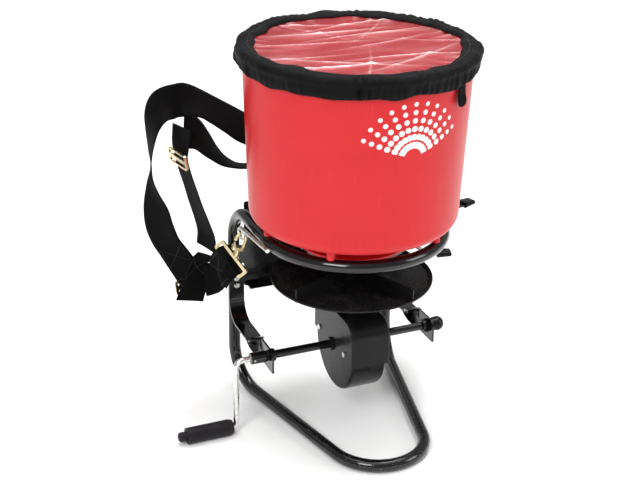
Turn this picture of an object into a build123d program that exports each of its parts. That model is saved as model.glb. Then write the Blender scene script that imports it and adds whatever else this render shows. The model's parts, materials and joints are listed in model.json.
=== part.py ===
from build123d import *
import math
import os

# Hand-crank broadcast spreader, carried on a shoulder harness.
# Millimetres, +Z up, front at -Y, operator at +Y, crank on the -X side.
# The origin is on the floor, under the axis of the hopper and the impeller.

# ---------------------------------------------------------------- driving sizes
tube_od = 19.0          # frame tube, 3/4 in
tube_wall = 1.6
hoop_r = 133.8          # centreline radius of the hoop under the hopper
hoop_z = 314.2          # centreline height of the hoop
bend_r = 60.0           # centreline radius of the four rear bends
rear_y = 150.0          # centreline of the rear posts
nose_r = 73.4           # centreline radius of the front nose of the base
nose_y = -176.6         # centreline of the nose at its front
joint_z = 215.0         # where the hoop tube meets the base tube in each post
spigot_length = 50.0

shaft_z = 125.0         # crank axle above the floor
shaft_d = 12.7
crank_plane = hoop_r + 51.2     # distance of the crank arm from the middle
crank_throw = 112.0
rod_d = 9.0
grip_d = 25.0
grip_length = 73.0

tub_top_z = 592.0
tub_over_hoop = 19.4    # the tub's floor reaches this far past the hoop's centreline
tub_flare = 9.3         # how much wider the tub is at its top
tub_bottom_r = hoop_r + tub_over_hoop
tub_top_r = tub_bottom_r + tub_flare
tub_wall = 3.5
tub_corner_r = 18.0
peg_height = 11.3       # tub floor above the top of the hoop tube
tub_bottom_z = hoop_z + tube_od / 2 + peg_height
lip_out = 4.0
lip_r = tub_top_r + lip_out
lip_height = 9.0
neck_r = 56.0           # outlet neck under the hopper
neck_drop = 37.0
neck_z = tub_bottom_z - neck_drop
peg_d = 12.5

impeller_r = 122.0
impeller_z = 234.5      # top of the impeller disc
vane_height = 20.0
drive_shaft_d = 9.5

case_r = 68.0           # round part of the gearbox
case_half_width = 28.0
case_wall = 2.8
case_shift = -5.0       # gearbox middle, forward of the axle
cover_top_z = 188.0
cover_front_y = -79.0
gear_module = 2.0
pinion_teeth = 10
crown_teeth = 40

cover_out = 5.5         # rain cover, outside the rim and above it
cover_rise = 3.5
cover_r = lip_r + cover_out
cover_top = tub_top_z + cover_rise
band_width = 26.0       # band around the rim, top and side
band_skirt = 28.0

strap_width = 50.0      # harness webbing, 2 in
strap_thickness = 2.0

# ---------------------------------------------------------------- clearances
run_gap = 0.05          # running fits, radial
seat_gap = 0.1          # seated parts, radial
soft_gap = 0.4          # soft parts, off their neighbours
sides = ((-1, "left"), (1, "right"))
os.makedirs("parts", exist_ok=True)


def finish(part, name):
    """Label a finished piece and write it to its own file."""
    part.label = name
    export_step(part, f"parts/{name}.step")


# ---------------------------------------------------------------- frame tubes
brace_top = 204.0
bolt_z = (brace_top - 13.0, brace_top - 25.0)     # brace bolts in each post
bolt_d = 5.0
bolt_head_r = 4.6
bolt_head_t = 3.4
shield_bottom = 174.0
shield_ear_top = 246.0
shield_screw_z = (shield_bottom + 50.0, shield_ear_top - 8.0)
shield_screw_d = bolt_d
shield_head_r = 4.5
shield_head_t = 2.6


def post_holes():
    """Clear the front wall of both posts for the brace bolts and the shield screws."""
    with BuildSketch(Plane((0, rear_y - tube_od, 0), x_dir=(1, 0, 0), z_dir=(0, 1, 0))) as holes:
        for side in (-1, 1):
            with Locations(*[(side * hoop_r, -z) for z in bolt_z + shield_screw_z]):
                Circle(bolt_d / 2 + seat_gap)
    extrude(holes.sketch, amount=tube_od, mode=Mode.SUBTRACT)


tube_r = tube_od / 2
floor_z = tube_r                                  # base tube rests on the floor
post_x = hoop_r                                   # the hoop's straight sides end in the posts

bend = bend_r * math.sqrt(0.5)                    # middle of a bend, from its centre

with BuildPart() as hoop_tube:
    with BuildLine() as hoop_path:
        for side in (-1, 1):
            x = side * post_x
            Line((x, rear_y, joint_z), (x, rear_y, hoop_z - bend_r))
            ThreePointArc(
                (x, rear_y, hoop_z - bend_r),
                (x, rear_y - bend_r + bend, hoop_z - bend_r + bend),
                (x, rear_y - bend_r, hoop_z),
            )
            Line((x, rear_y - bend_r, hoop_z), (x, 0, hoop_z))
        ThreePointArc((-post_x, 0, hoop_z), (0, -hoop_r, hoop_z), (post_x, 0, hoop_z))
    with BuildSketch(Plane((-post_x, rear_y, joint_z))):
        Circle(tube_r)
        Circle(tube_r - tube_wall, mode=Mode.SUBTRACT)
    sweep(path=hoop_path.wires()[0])
    post_holes()
finish(hoop_tube.part, "hoop_tube")

# The base legs lean in from the posts and touch the nose arc.
nose_cy = nose_y + nose_r
reach = math.hypot(post_x, rear_y - nose_cy)
lean = math.acos(nose_r / reach) - math.atan2(rear_y - nose_cy, post_x)
leg = Vector(-math.sin(lean), -math.cos(lean), 0)          # right leg, forward
tangent_x = nose_r * math.cos(lean)
tangent_y = nose_cy - nose_r * math.sin(lean)

with BuildPart() as base_tube:
    with BuildLine() as base_path:
        for side in (-1, 1):
            heel = Vector(side * post_x, rear_y, 0)
            run = Vector(side * leg.X, leg.Y, 0)
            up = Vector(0, 0, 1)
            low = heel + run * bend_r + up * floor_z
            knee = heel + run * (bend_r - bend) + up * (floor_z + bend_r - bend)
            Line(heel + up * joint_z, heel + up * (floor_z + bend_r))
            ThreePointArc(heel + up * (floor_z + bend_r), knee, low)
            Line(low, (side * tangent_x, tangent_y, floor_z))
        ThreePointArc(
            (-tangent_x, tangent_y, floor_z), (0, nose_y, floor_z), (tangent_x, tangent_y, floor_z)
        )
    with BuildSketch(Plane((-post_x, rear_y, joint_z), z_dir=(0, 0, -1))):
        Circle(tube_r)
        Circle(tube_r - tube_wall, mode=Mode.SUBTRACT)
    sweep(path=base_path.wires()[0])
    post_holes()
finish(base_tube.part, "base_tube")

with BuildPart() as post_spigots:
    with BuildSketch(Plane.XY.offset(joint_z - spigot_length / 2)):
        with Locations((-post_x, rear_y), (post_x, rear_y)):
            Circle(tube_r - tube_wall - seat_gap)
            Circle(tube_r - 2 * tube_wall - seat_gap, mode=Mode.SUBTRACT)
    extrude(amount=spigot_length)
    post_holes()
finish(post_spigots.part, "post_spigots")

# ---------------------------------------------------------------- axle braces
# Flat strap: down the front of each post, forward in a bend, a quarter twist, and an upright ear.
brace_w = 25.0
brace_t = 3.0
brace_bend = 34.0
brace_twist_y = (62.0, 43.0, 24.0)
ear_height = 35.0
ear_front = -22.0
ear_drop = 2.0                                    # ear middle, below the axle
brace_y = rear_y - tube_r - brace_t / 2           # strap middle against the post
brace_z = shaft_z - ear_drop                      # strap middle of the forward run
bush_wall = 1.65
bush_od = shaft_d + 2 * bush_wall
bush_flange_d = bush_od + 6.0
bush_flange_t = 1.8

for side, name in sides:
    x = side * post_x
    with BuildPart() as brace:
        with BuildLine() as brace_path:
            corner = brace_bend * (1 - math.sqrt(0.5))
            Line((x, brace_y, brace_top), (x, brace_y, brace_z + brace_bend))
            ThreePointArc(
                (x, brace_y, brace_z + brace_bend),
                (x, brace_y - corner, brace_z + corner),
                (x, brace_y - brace_bend, brace_z),
            )
            Line((x, brace_y - brace_bend, brace_z), (x, brace_twist_y[0], brace_z))
        with BuildSketch(Plane((x, brace_y, brace_top), x_dir=(1, 0, 0), z_dir=(0, 0, -1))):
            Rectangle(brace_w, brace_t)
        sweep(path=brace_path.wires()[0])
        for y, turn, tall in zip(brace_twist_y, (0, 45, 90), (brace_w, brace_w + 4, ear_height)):
            across = Vector(math.cos(math.radians(turn)), 0, math.sin(math.radians(turn)))
            with BuildSketch(Plane((x, y, brace_z), x_dir=across, z_dir=(0, -1, 0))):
                Rectangle(tall, brace_t)
        loft()
        with BuildSketch(Plane((x, brace_twist_y[-1], brace_z), x_dir=(0, 0, 1), z_dir=(0, -1, 0))):
            Rectangle(ear_height, brace_t)
        extrude(amount=brace_twist_y[-1] - ear_front)
        rear_corners = brace.edges().filter_by(Axis.X).group_by(Axis.Y)[0].sort_by(Axis.Z)
        fillet(rear_corners[-1], ear_height / 3)
        with BuildSketch(Plane((x - 2 * brace_t, 0, shaft_z), x_dir=(0, 1, 0), z_dir=(1, 0, 0))):
            Circle(bush_od / 2 + seat_gap)
        extrude(amount=4 * brace_t, mode=Mode.SUBTRACT)
        with BuildSketch(Plane((x, brace_y - brace_t, 0), x_dir=(1, 0, 0), z_dir=(0, 1, 0))):
            with Locations(*[(0, -z) for z in bolt_z]):
                Circle(bolt_d / 2 + seat_gap)
        extrude(amount=2 * brace_t, mode=Mode.SUBTRACT)
    finish(brace.part, f"brace_{name}")

with BuildPart() as brace_bolts:
    head_y = brace_y - brace_t / 2
    with BuildSketch(Plane((0, head_y, 0), x_dir=(1, 0, 0), z_dir=(0, -1, 0))):
        with Locations(*[(side * post_x, z) for side in (-1, 1) for z in bolt_z]):
            Circle(bolt_head_r)
    extrude(amount=bolt_head_t)
    chamfer(brace_bolts.faces().sort_by(Axis.Y)[0:4].edges(), 0.9)
    with BuildSketch(Plane((0, head_y, 0), x_dir=(1, 0, 0), z_dir=(0, -1, 0))):
        with Locations(*[(side * post_x, z) for side in (-1, 1) for z in bolt_z]):
            Circle(bolt_d / 2)
    extrude(amount=-(brace_t + tube_wall + 2))
finish(brace_bolts.part, "brace_bolts")

# ---------------------------------------------------------------- rear shield
shield_t = 1.6
shield_top = 318.0
shield_back = rear_y - tube_r - 0.02
shield_inner = post_x - brace_w / 2 - 0.8         # stays between the braces and the bent tubes
shield_press = 0.8                                # the middle is pressed back, proud of the ears
shield_border = 7.0
shield_flange = 14.0                              # folded forward along its top and bottom
shield_flange_t = 2.0
ear_out = 6.0                                     # the ears reach this far past the posts

with BuildPart() as rear_shield:
    with BuildSketch(Plane((0, shield_back, 0), x_dir=(1, 0, 0), z_dir=(0, -1, 0))) as shield_face:
        with BuildLine():
            Polyline(
                (-shield_inner, shield_bottom), (-shield_inner, shield_screw_z[0] - 9),
                (-post_x - ear_out, shield_screw_z[0] - 9), (-post_x - ear_out, shield_ear_top),
                (-shield_inner, shield_ear_top), (-shield_inner, shield_top),
                (shield_inner, shield_top), (shield_inner, shield_ear_top),
                (post_x + ear_out, shield_ear_top), (post_x + ear_out, shield_screw_z[0] - 9),
                (shield_inner, shield_screw_z[0] - 9), (shield_inner, shield_bottom), close=True,
            )
        make_face()
        fillet(shield_face.vertices(), 4)
        with Locations(*[(side * post_x, z) for side in (-1, 1) for z in shield_screw_z]):
            Circle(shield_screw_d / 2 + seat_gap, mode=Mode.SUBTRACT)
    extrude(amount=shield_t)
    with BuildSketch(Plane((0, shield_back, 0), x_dir=(1, 0, 0), z_dir=(0, -1, 0))):
        with Locations((0, (shield_bottom + shield_top) / 2)):
            RectangleRounded(2 * (shield_inner - shield_border),
                             shield_top - shield_bottom - 2 * shield_border, shield_border)
    extrude(amount=-shield_press)
    with BuildSketch(Plane((0, shield_back - shield_t, 0), x_dir=(1, 0, 0), z_dir=(0, -1, 0))):
        with Locations((0, shield_bottom + shield_flange_t / 2), (0, shield_top - shield_flange_t / 2)):
            Rectangle(2 * (shield_inner - 5), shield_flange_t)
    extrude(amount=shield_flange)
finish(rear_shield.part, "rear_shield")

with BuildPart() as shield_screws:
    with BuildSketch(Plane((0, shield_back - shield_t, 0), x_dir=(1, 0, 0), z_dir=(0, -1, 0))):
        with Locations(*[(side * post_x, z) for side in (-1, 1) for z in shield_screw_z]):
            Circle(shield_head_r)
    extrude(amount=shield_head_t)
    fillet(shield_screws.faces().sort_by(Axis.Y)[0:4].edges(), 1.2)
    with BuildSketch(Plane((0, shield_back - shield_t, 0), x_dir=(1, 0, 0), z_dir=(0, -1, 0))):
        with Locations(*[(side * post_x, z) for side in (-1, 1) for z in shield_screw_z]):
            Circle(shield_screw_d / 2)
    extrude(amount=-(shield_t + tube_wall + 2))
finish(shield_screws.part, "shield_screws")

# ---------------------------------------------------------------- strap loops
wire_d = 6.0
eye_r = 7.5                                       # centreline radius of the eye
loop_run = 88.0                                   # from the weld to the eye
loop_splay = 5.0                                  # the wire leaves the hoop by this many degrees
loop_front_y = -30.0
loop_top_z = hoop_z - 1.0
weld_sink = 0.2
loop_x = hoop_r + tube_r + wire_d / 2 - weld_sink


def loop_axes(side):
    """Where a strap loop starts, the way it runs and the way its eye faces."""
    splay = math.radians(loop_splay)
    along = Vector(side * math.sin(splay), math.cos(splay), 0)
    return Vector(side * loop_x, loop_front_y, loop_top_z), along, along.cross(Vector(0, 0, 1))


for side, name in sides:
    weld, along, facing = loop_axes(side)
    with BuildPart() as strap_loop:
        with BuildLine(Plane(weld, x_dir=along, z_dir=facing)) as wire:
            Line((0, 0), (loop_run, 0))
            CenterArc((loop_run, -eye_r), eye_r, 90, -310)
        with BuildSketch(Plane(weld, z_dir=along)):
            Circle(wire_d / 2)
        sweep(path=wire.wires()[0])
    finish(strap_loop.part, f"strap_loop_{name}")

# ---------------------------------------------------------------- hopper
peg_angles = (180.0, 232.5, 307.5, 0.0)
peg_bottom = hoop_z + tube_r
cone_top_r = hoop_r - 15.8
neck_flange_r = 84.0
neck_flange_t = 3.0
plate_screw_r = 77.0
plate_screw_angles = (60, 120, 240, 300)
plate_screw_d = 3.7
plate_head_r = 4.2
plate_head_t = 2.4
peg_screw_d = 5.0

with BuildPart() as hopper:
    with BuildSketch(Plane.XZ):
        with BuildLine():
            Polyline(
                (neck_r, neck_z), (neck_flange_r, neck_z), (neck_flange_r, neck_z + neck_flange_t),
                (neck_r + tub_wall + 3, neck_z + 4.5), (cone_top_r, tub_bottom_z),
                (tub_bottom_r, tub_bottom_z), (tub_top_r, tub_top_z - lip_height),
                (lip_r, tub_top_z - lip_height), (lip_r, tub_top_z), (tub_top_r - tub_wall, tub_top_z),
                (tub_bottom_r - tub_wall, tub_bottom_z + tub_wall), (cone_top_r, tub_bottom_z + tub_wall),
                (neck_r, neck_z + 7), close=True,
            )
        make_face()
    revolve(axis=Axis.Z)
    outer_corner = hopper.edges().filter_by(GeomType.CIRCLE).filter_by(
        lambda e: abs(e.center().Z - tub_bottom_z) < 0.1 and abs(e.radius - tub_bottom_r) < 0.1
    )
    inner_corner = hopper.edges().filter_by(GeomType.CIRCLE).filter_by(
        lambda e: abs(e.center().Z - tub_bottom_z - tub_wall) < 0.1
        and abs(e.radius - tub_bottom_r + tub_wall) < 0.1
    )
    fillet(outer_corner, tub_corner_r)
    fillet(inner_corner, tub_corner_r - tub_wall)
    with BuildSketch(Plane.XY.offset(peg_bottom)):
        for angle in peg_angles:
            with Locations(Vector(hoop_r, 0).rotate(Axis.Z, angle)):
                Circle(peg_d / 2)
    extrude(amount=tub_bottom_z - peg_bottom + tub_wall / 2)
    with BuildSketch(Plane.XY.offset(peg_bottom)):
        for angle in peg_angles:
            with Locations(Vector(hoop_r, 0).rotate(Axis.Z, angle)):
                Circle(peg_screw_d / 2 - seat_gap)
    extrude(amount=tub_bottom_z - peg_bottom - 1, mode=Mode.SUBTRACT)
    with BuildSketch(Plane.XY.offset(neck_z)):
        for angle in plate_screw_angles:
            with Locations(Vector(plate_screw_r, 0).rotate(Axis.Z, angle)):
                Circle(plate_screw_d / 2 + seat_gap / 2)
    extrude(amount=neck_flange_t, mode=Mode.SUBTRACT)
finish(hopper.part, "hopper")

# ---------------------------------------------------------------- outlet plates
plate_t = 2.0
plate_gap = 0.4
bottom_plate_t = 2.5
slide_plate_r = 70.0
neck_bush_r = drive_shaft_d / 2 + 2.25
plate_hole_r = neck_bush_r + 4.0
port_r = (22.0, 52.0)
port_angle = 17.0                                 # each of three outlet ports, in degrees
shutoff_travel = 20.0
rate_travel = 18.0
rivet_r = 62.0
rivet_d = 6.0
rivet_stem_r = 2.05                               # where a rivet passes through the bottom plate
rivet_head_t = 2.0
rivet_angles = (90, 210, 330)
slot_gap = 0.3
shutoff_angle = 17.0                              # lever directions at rest
rate_angle = -17.0
lever_w = 16.0
shutoff_reach = 234.0
rate_reach = 130.0
rate_knob_z = 269.0
rate_bend_r = (80.0, 112.0)
lever_end = 18.0                                  # how far a lever reaches into its knob

bottom_plate_z = neck_z - bottom_plate_t
rate_z = bottom_plate_z - plate_gap - plate_t
shutoff_z = rate_z - plate_gap - plate_t


def ports(turn):
    """Three outlet ports as wedges of a ring, turned by an angle in degrees."""
    with BuildSketch(mode=Mode.PRIVATE) as wedges:
        for k in range(3):
            first = turn + 120 * k - port_angle / 2
            with BuildLine():
                inner = CenterArc((0, 0), port_r[0], first, port_angle)
                outer = CenterArc((0, 0), port_r[1], first, port_angle)
                Line(inner @ 0, outer @ 0)
                Line(inner @ 1, outer @ 1)
            make_face()
    return wedges.sketch


def guide_slots(low, high):
    """Arc slots that let a plate turn from low to high degrees past the three rivets."""
    with BuildSketch(mode=Mode.PRIVATE) as slots:
        for angle in rivet_angles:
            middle = angle - (low + high) / 2
            SlotArc(CenterArc((0, 0), rivet_r, middle - (high - low) / 2, high - low), rivet_d + 2 * slot_gap)
    return slots.sketch


with BuildPart() as bottom_plate:
    with BuildSketch(Plane.XY.offset(bottom_plate_z)):
        Circle(neck_flange_r)
        Circle(neck_bush_r + seat_gap, mode=Mode.SUBTRACT)
        add(ports(30), mode=Mode.SUBTRACT)
        for angle in plate_screw_angles:
            with Locations(Vector(plate_screw_r, 0).rotate(Axis.Z, angle)):
                Circle(plate_screw_d / 2 + 2.5 * seat_gap, mode=Mode.SUBTRACT)
        for angle in rivet_angles:
            with Locations(Vector(rivet_r, 0).rotate(Axis.Z, angle)):
                Circle(rivet_stem_r + seat_gap / 2, mode=Mode.SUBTRACT)
    extrude(amount=bottom_plate_t)
finish(bottom_plate.part, "bottom_plate")

with BuildPart() as rate_plate:
    with BuildSketch(Plane.XY.offset(rate_z)):
        Circle(slide_plate_r)
        Circle(plate_hole_r, mode=Mode.SUBTRACT)
        add(ports(30), mode=Mode.SUBTRACT)
        add(guide_slots(-rate_travel, 0), mode=Mode.SUBTRACT)
    extrude(amount=plate_t)
    direction = Vector(1, 0, 0).rotate(Axis.Z, rate_angle)
    across = Vector(0, 1, 0).rotate(Axis.Z, rate_angle)
    with BuildLine(Plane((0, 0, 0), x_dir=direction, z_dir=across * -1)) as rate_arm:
        FilletPolyline(
            (slide_plate_r - 4, rate_z + plate_t / 2), (rate_bend_r[0], rate_z + plate_t / 2),
            (rate_bend_r[1], rate_knob_z), (rate_reach + lever_end, rate_knob_z), radius=4,
        )
    with BuildSketch(Plane(rate_arm.wires()[0] @ 0, x_dir=across, z_dir=direction)):
        Rectangle(lever_w, plate_t)
    sweep(path=rate_arm.wires()[0])
finish(rate_plate.part, "rate_plate")

with BuildPart() as shutoff_plate:
    with BuildSketch(Plane.XY.offset(shutoff_z)):
        Circle(slide_plate_r)
        with Locations(Location((0, 0, 0), (0, 0, shutoff_angle))):
            with Locations(((shutoff_reach + lever_end) / 2, 0)):
                Rectangle(shutoff_reach + lever_end, lever_w)
        Circle(plate_hole_r, mode=Mode.SUBTRACT)
        add(ports(30 - shutoff_travel), mode=Mode.SUBTRACT)
        add(guide_slots(0, shutoff_travel), mode=Mode.SUBTRACT)
    extrude(amount=plate_t)
finish(shutoff_plate.part, "shutoff_plate")

with BuildPart() as guide_rivets:
    with BuildSketch(Plane.XY.offset(shutoff_z - plate_gap - rivet_head_t)):
        for angle in rivet_angles:
            with Locations(Vector(rivet_r, 0).rotate(Axis.Z, angle)):
                Circle(rivet_d)
    extrude(amount=rivet_head_t)
    fillet(guide_rivets.faces().sort_by(Axis.Z)[0:3].edges(), 1.2)
    with BuildSketch(Plane.XY.offset(shutoff_z - 1)):
        for angle in rivet_angles:
            with Locations(Vector(rivet_r, 0).rotate(Axis.Z, angle)):
                Circle(rivet_d / 2)
    extrude(amount=bottom_plate_z - shutoff_z + 1)
    with BuildSketch(Plane.XY.offset(bottom_plate_z)):
        for angle in rivet_angles:
            with Locations(Vector(rivet_r, 0).rotate(Axis.Z, angle)):
                Circle(rivet_stem_r)
    extrude(amount=bottom_plate_t)
finish(guide_rivets.part, "guide_rivets")

with BuildPart() as plate_screws:
    with BuildSketch(Plane.XY.offset(bottom_plate_z)):
        for angle in plate_screw_angles:
            with Locations(Vector(plate_screw_r, 0).rotate(Axis.Z, angle)):
                Circle(plate_head_r)
    extrude(amount=-plate_head_t)
    fillet(plate_screws.faces().sort_by(Axis.Z)[0:4].edges(), 1.0)
    with BuildSketch(Plane.XY.offset(bottom_plate_z)):
        for angle in plate_screw_angles:
            with Locations(Vector(plate_screw_r, 0).rotate(Axis.Z, angle)):
                Circle(plate_screw_d / 2)
    extrude(amount=bottom_plate_t + neck_flange_t)
finish(plate_screws.part, "plate_screws")

knob_d = 13.0
knob_length = 22.0
for name, angle, reach, z in (
    ("shutoff_knob", shutoff_angle, shutoff_reach, shutoff_z + plate_t / 2),
    ("rate_knob", rate_angle, rate_reach, rate_knob_z),
):
    direction = Vector(1, 0, 0).rotate(Axis.Z, angle)
    across = Vector(0, 1, 0).rotate(Axis.Z, angle)
    with BuildPart() as knob:
        with BuildSketch(Plane(direction * (reach - 2) + Vector(0, 0, z), x_dir=across, z_dir=direction)):
            SlotOverall(lever_w + 6, knob_d * 0.75)
        extrude(amount=knob_length, taper=4)
        fillet(knob.faces().sort_by(Axis(origin=(0, 0, 0), direction=direction))[-1].edges(), 2.5)
        with BuildSketch(Plane(direction * (reach - 3) + Vector(0, 0, z), x_dir=across, z_dir=direction)):
            Rectangle(lever_w + 2 * seat_gap, plate_t + 2 * seat_gap)
        extrude(amount=lever_end + 3.5, mode=Mode.SUBTRACT)
    finish(knob.part, name)

# ---------------------------------------------------------------- impeller and its shaft
disc_t = 2.5
disc_rim = 3.5                                    # upturned rim round the disc
disc_rim_run = 7.0
vane_t = 2.5
vane_count = 4
vane_start = 24.0
hub_r = 14.0
hub_height = 26.0
shaft_bottom = shaft_z + 24.0
shaft_top = neck_z + 26.0
pin_d = 3.0
hub_pin_z = impeller_z + hub_height - 7
agitator_z = shaft_top - 8
agitator_reach = 34.0

with BuildPart() as impeller:
    with BuildSketch(Plane.XZ):
        with BuildLine():
            Polyline(
                (drive_shaft_d / 2 + seat_gap, impeller_z - disc_t - 9), (hub_r, impeller_z - disc_t - 9),
                (hub_r + 1, impeller_z - disc_t), (impeller_r - disc_rim_run, impeller_z - disc_t),
                (impeller_r, impeller_z - disc_t + disc_rim), (impeller_r, impeller_z + disc_rim),
                (impeller_r - disc_rim_run / 5, impeller_z + disc_rim),
                (impeller_r - disc_rim_run, impeller_z), (hub_r + 1, impeller_z),
                (hub_r, impeller_z + hub_height), (drive_shaft_d / 2 + seat_gap, impeller_z + hub_height),
                close=True,
            )
        make_face()
    revolve(axis=Axis.Z)
    with BuildSketch(Plane.XY.offset(impeller_z - disc_t / 2)):
        for k in range(vane_count):
            with Locations(Location((0, 0, 0), (0, 0, vane_start + 360 * k / vane_count))):
                with Locations(((hub_r + impeller_r - 5) / 2 + 1, 0)):
                    Rectangle(impeller_r - 5 - hub_r + 4, vane_t)
    extrude(amount=vane_height + disc_t / 2)
    with BuildSketch(Plane.YZ.offset(-hub_r - 2)):
        with Locations((0, hub_pin_z)):
            Circle(pin_d / 2 + seat_gap)
    extrude(amount=2 * hub_r + 4, mode=Mode.SUBTRACT)
finish(impeller.part, "impeller")

with BuildPart() as drive_shaft:
    with BuildSketch(Plane.XY.offset(shaft_bottom)):
        Circle(drive_shaft_d / 2)
    extrude(amount=shaft_top - shaft_bottom)
    chamfer(drive_shaft.edges().filter_by(GeomType.CIRCLE), 0.8)
    with BuildSketch(Plane.YZ.offset(-drive_shaft_d)):
        with Locations((0, hub_pin_z), (0, agitator_z)):
            Circle(pin_d / 2 + seat_gap)
    extrude(amount=2 * drive_shaft_d, mode=Mode.SUBTRACT)
finish(drive_shaft.part, "drive_shaft")

with BuildPart() as impeller_pin:
    with BuildSketch(Plane.YZ.offset(-hub_r + 0.5)):
        with Locations((0, hub_pin_z)):
            Circle(pin_d / 2)
    extrude(amount=2 * hub_r - 1)
finish(impeller_pin.part, "impeller_pin")

with BuildPart() as agitator:
    with BuildSketch(Plane.YZ.offset(-agitator_reach)):
        with Locations((0, agitator_z)):
            Circle(pin_d / 2)
    extrude(amount=2 * agitator_reach)
finish(agitator.part, "agitator")

with BuildPart() as hopper_bush:
    with BuildSketch(Plane.XY.offset(bottom_plate_z - 5)):
        Circle(neck_bush_r)
        Circle(drive_shaft_d / 2 + run_gap, mode=Mode.SUBTRACT)
    extrude(amount=5 + bottom_plate_t + 1.5)
    with BuildSketch(Plane.XY.offset(bottom_plate_z + bottom_plate_t)):
        Circle(neck_bush_r + 3)
        Circle(drive_shaft_d / 2 + run_gap, mode=Mode.SUBTRACT)
    extrude(amount=1.5)
finish(hopper_bush.part, "hopper_bush")

# ---------------------------------------------------------------- gearbox
case_z = shaft_z - 1.0                            # middle of the round case
cover_gap = 0.3
cover_wall = 2.4
skirt_rear_z = 98.0
cover_corner_r = 26.0
case_bush_od = shaft_d + 4.3
shaft_boss_r = 12.0
shaft_boss_z = cover_top_z + 12.0

with BuildPart() as gearbox_case:
    with BuildSketch(Plane.YZ.offset(-case_half_width)):
        with Locations((case_shift, case_z)):
            Circle(case_r)
        with Locations((case_shift, case_z + case_r)):
            Rectangle(3 * case_r, 2 * case_r, mode=Mode.SUBTRACT)
    extrude(amount=2 * case_half_width)
    fillet(gearbox_case.edges().filter_by(GeomType.CIRCLE), 4)
    with BuildSketch(Plane.YZ.offset(-case_half_width + case_wall)):
        with Locations((case_shift, case_z)):
            Circle(case_r - case_wall)
    extrude(amount=2 * (case_half_width - case_wall), mode=Mode.SUBTRACT)
    with BuildSketch(Plane.YZ.offset(-case_half_width - 1)):
        with Locations((0, shaft_z)):
            Circle(case_bush_od / 2 + seat_gap)
    extrude(amount=2 * case_half_width + 2, mode=Mode.SUBTRACT)
finish(gearbox_case.part, "gearbox_case")

# The cover is a U-shaped hood over the case, with a lip that slopes up towards the front.
cover_half = case_half_width + cover_gap + cover_wall
cover_rear_y = case_shift + case_r + cover_gap + cover_wall

with BuildPart() as gearbox_cover:
    with BuildSketch(Plane.YZ.offset(-cover_half)) as hood:
        with BuildLine():
            front = FilletPolyline(
                (cover_rear_y, case_z + 2), (cover_rear_y, cover_top_z), (cover_front_y + 5, cover_top_z),
                (cover_front_y, 121), radius=cover_corner_r,
            )
            Polyline(front @ 1, (-40, 107), (10, skirt_rear_z), (48, case_z + 2), front @ 0)
        make_face()
    extrude(amount=2 * cover_half)
    hood_edges = gearbox_cover.edges().filter_by(Axis.X, reverse=True)
    fillet(hood_edges.filter_by(lambda e: e.center().Z > 122 and abs(e.center().Z - case_z - 2) > 1), 2.0)
    with BuildSketch(Plane.YZ.offset(-case_half_width - cover_gap)) as hollow:
        with BuildLine():
            inside = FilletPolyline(
                (cover_rear_y - cover_wall, case_z - 40),
                (cover_rear_y - cover_wall, cover_top_z - cover_wall),
                (cover_front_y + 5 + cover_wall, cover_top_z - cover_wall),
                (cover_front_y + cover_wall - 2, 80), radius=cover_corner_r - cover_wall,
            )
            Line(inside @ 1, inside @ 0)
        make_face()
    extrude(amount=2 * (case_half_width + cover_gap), mode=Mode.SUBTRACT)
    with BuildSketch(Plane.XY.offset(cover_top_z - cover_wall)):
        Circle(shaft_boss_r)
    extrude(amount=shaft_boss_z - cover_top_z + cover_wall)
    fillet(gearbox_cover.faces().sort_by(Axis.Z)[-1].edges(), 1.5)
    with BuildSketch(Plane.XY.offset(cover_top_z - 2 * cover_wall)):
        Circle(drive_shaft_d / 2 + 2.5 + seat_gap)
    extrude(amount=shaft_boss_z, mode=Mode.SUBTRACT)
    with BuildSketch(Plane.YZ.offset(-cover_half - 1)):
        with Locations((0, shaft_z)):
            Circle(case_bush_od / 2 + seat_gap)
    extrude(amount=2 * cover_half + 2, mode=Mode.SUBTRACT)
    with BuildSketch(Plane((-10, cover_rear_y - 0.5, 152), x_dir=(1, 0, 0), z_dir=(0, 1, 0))):
        Circle(15)
    extrude(amount=18, taper=6)
    fillet(gearbox_cover.faces().sort_by(Axis.Y)[-1].edges(), 6)
finish(gearbox_cover.part, "gearbox_cover")

with BuildPart() as shaft_bush:
    with BuildSketch(Plane.XY.offset(cover_top_z - cover_wall)):
        Circle(drive_shaft_d / 2 + 2.5)
        Circle(drive_shaft_d / 2 + run_gap, mode=Mode.SUBTRACT)
    extrude(amount=shaft_boss_z - cover_top_z + cover_wall)
finish(shaft_bush.part, "shaft_bush")

for side, name in sides:
    with BuildPart() as case_bush:
        with BuildSketch(Plane((side * (case_half_width - case_wall), 0, shaft_z), x_dir=(0, 1, 0),
                               z_dir=(side, 0, 0))):
            Circle(case_bush_od / 2)
            Circle(shaft_d / 2 + run_gap, mode=Mode.SUBTRACT)
        extrude(amount=cover_half - case_half_width + case_wall + 4)
        with BuildSketch(Plane((side * (cover_half + run_gap), 0, shaft_z), x_dir=(0, 1, 0),
                               z_dir=(side, 0, 0))):
            Circle(case_bush_od / 2 + 2)
            Circle(shaft_d / 2 + run_gap, mode=Mode.SUBTRACT)
        extrude(amount=3.95)
    finish(case_bush.part, f"case_bush_{name}")

# Crown gear on the axle, pinion on the upright shaft.
pinion_r = gear_module * pinion_teeth / 2
crown_r = gear_module * crown_teeth / 2
tooth_depth = 0.9 * gear_module
gear_face = 7.0
crown_back = 5.0
crown_face_x = pinion_r + 1.2 * gear_module
pinion_low = shaft_z + crown_r - gear_face / 2

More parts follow.
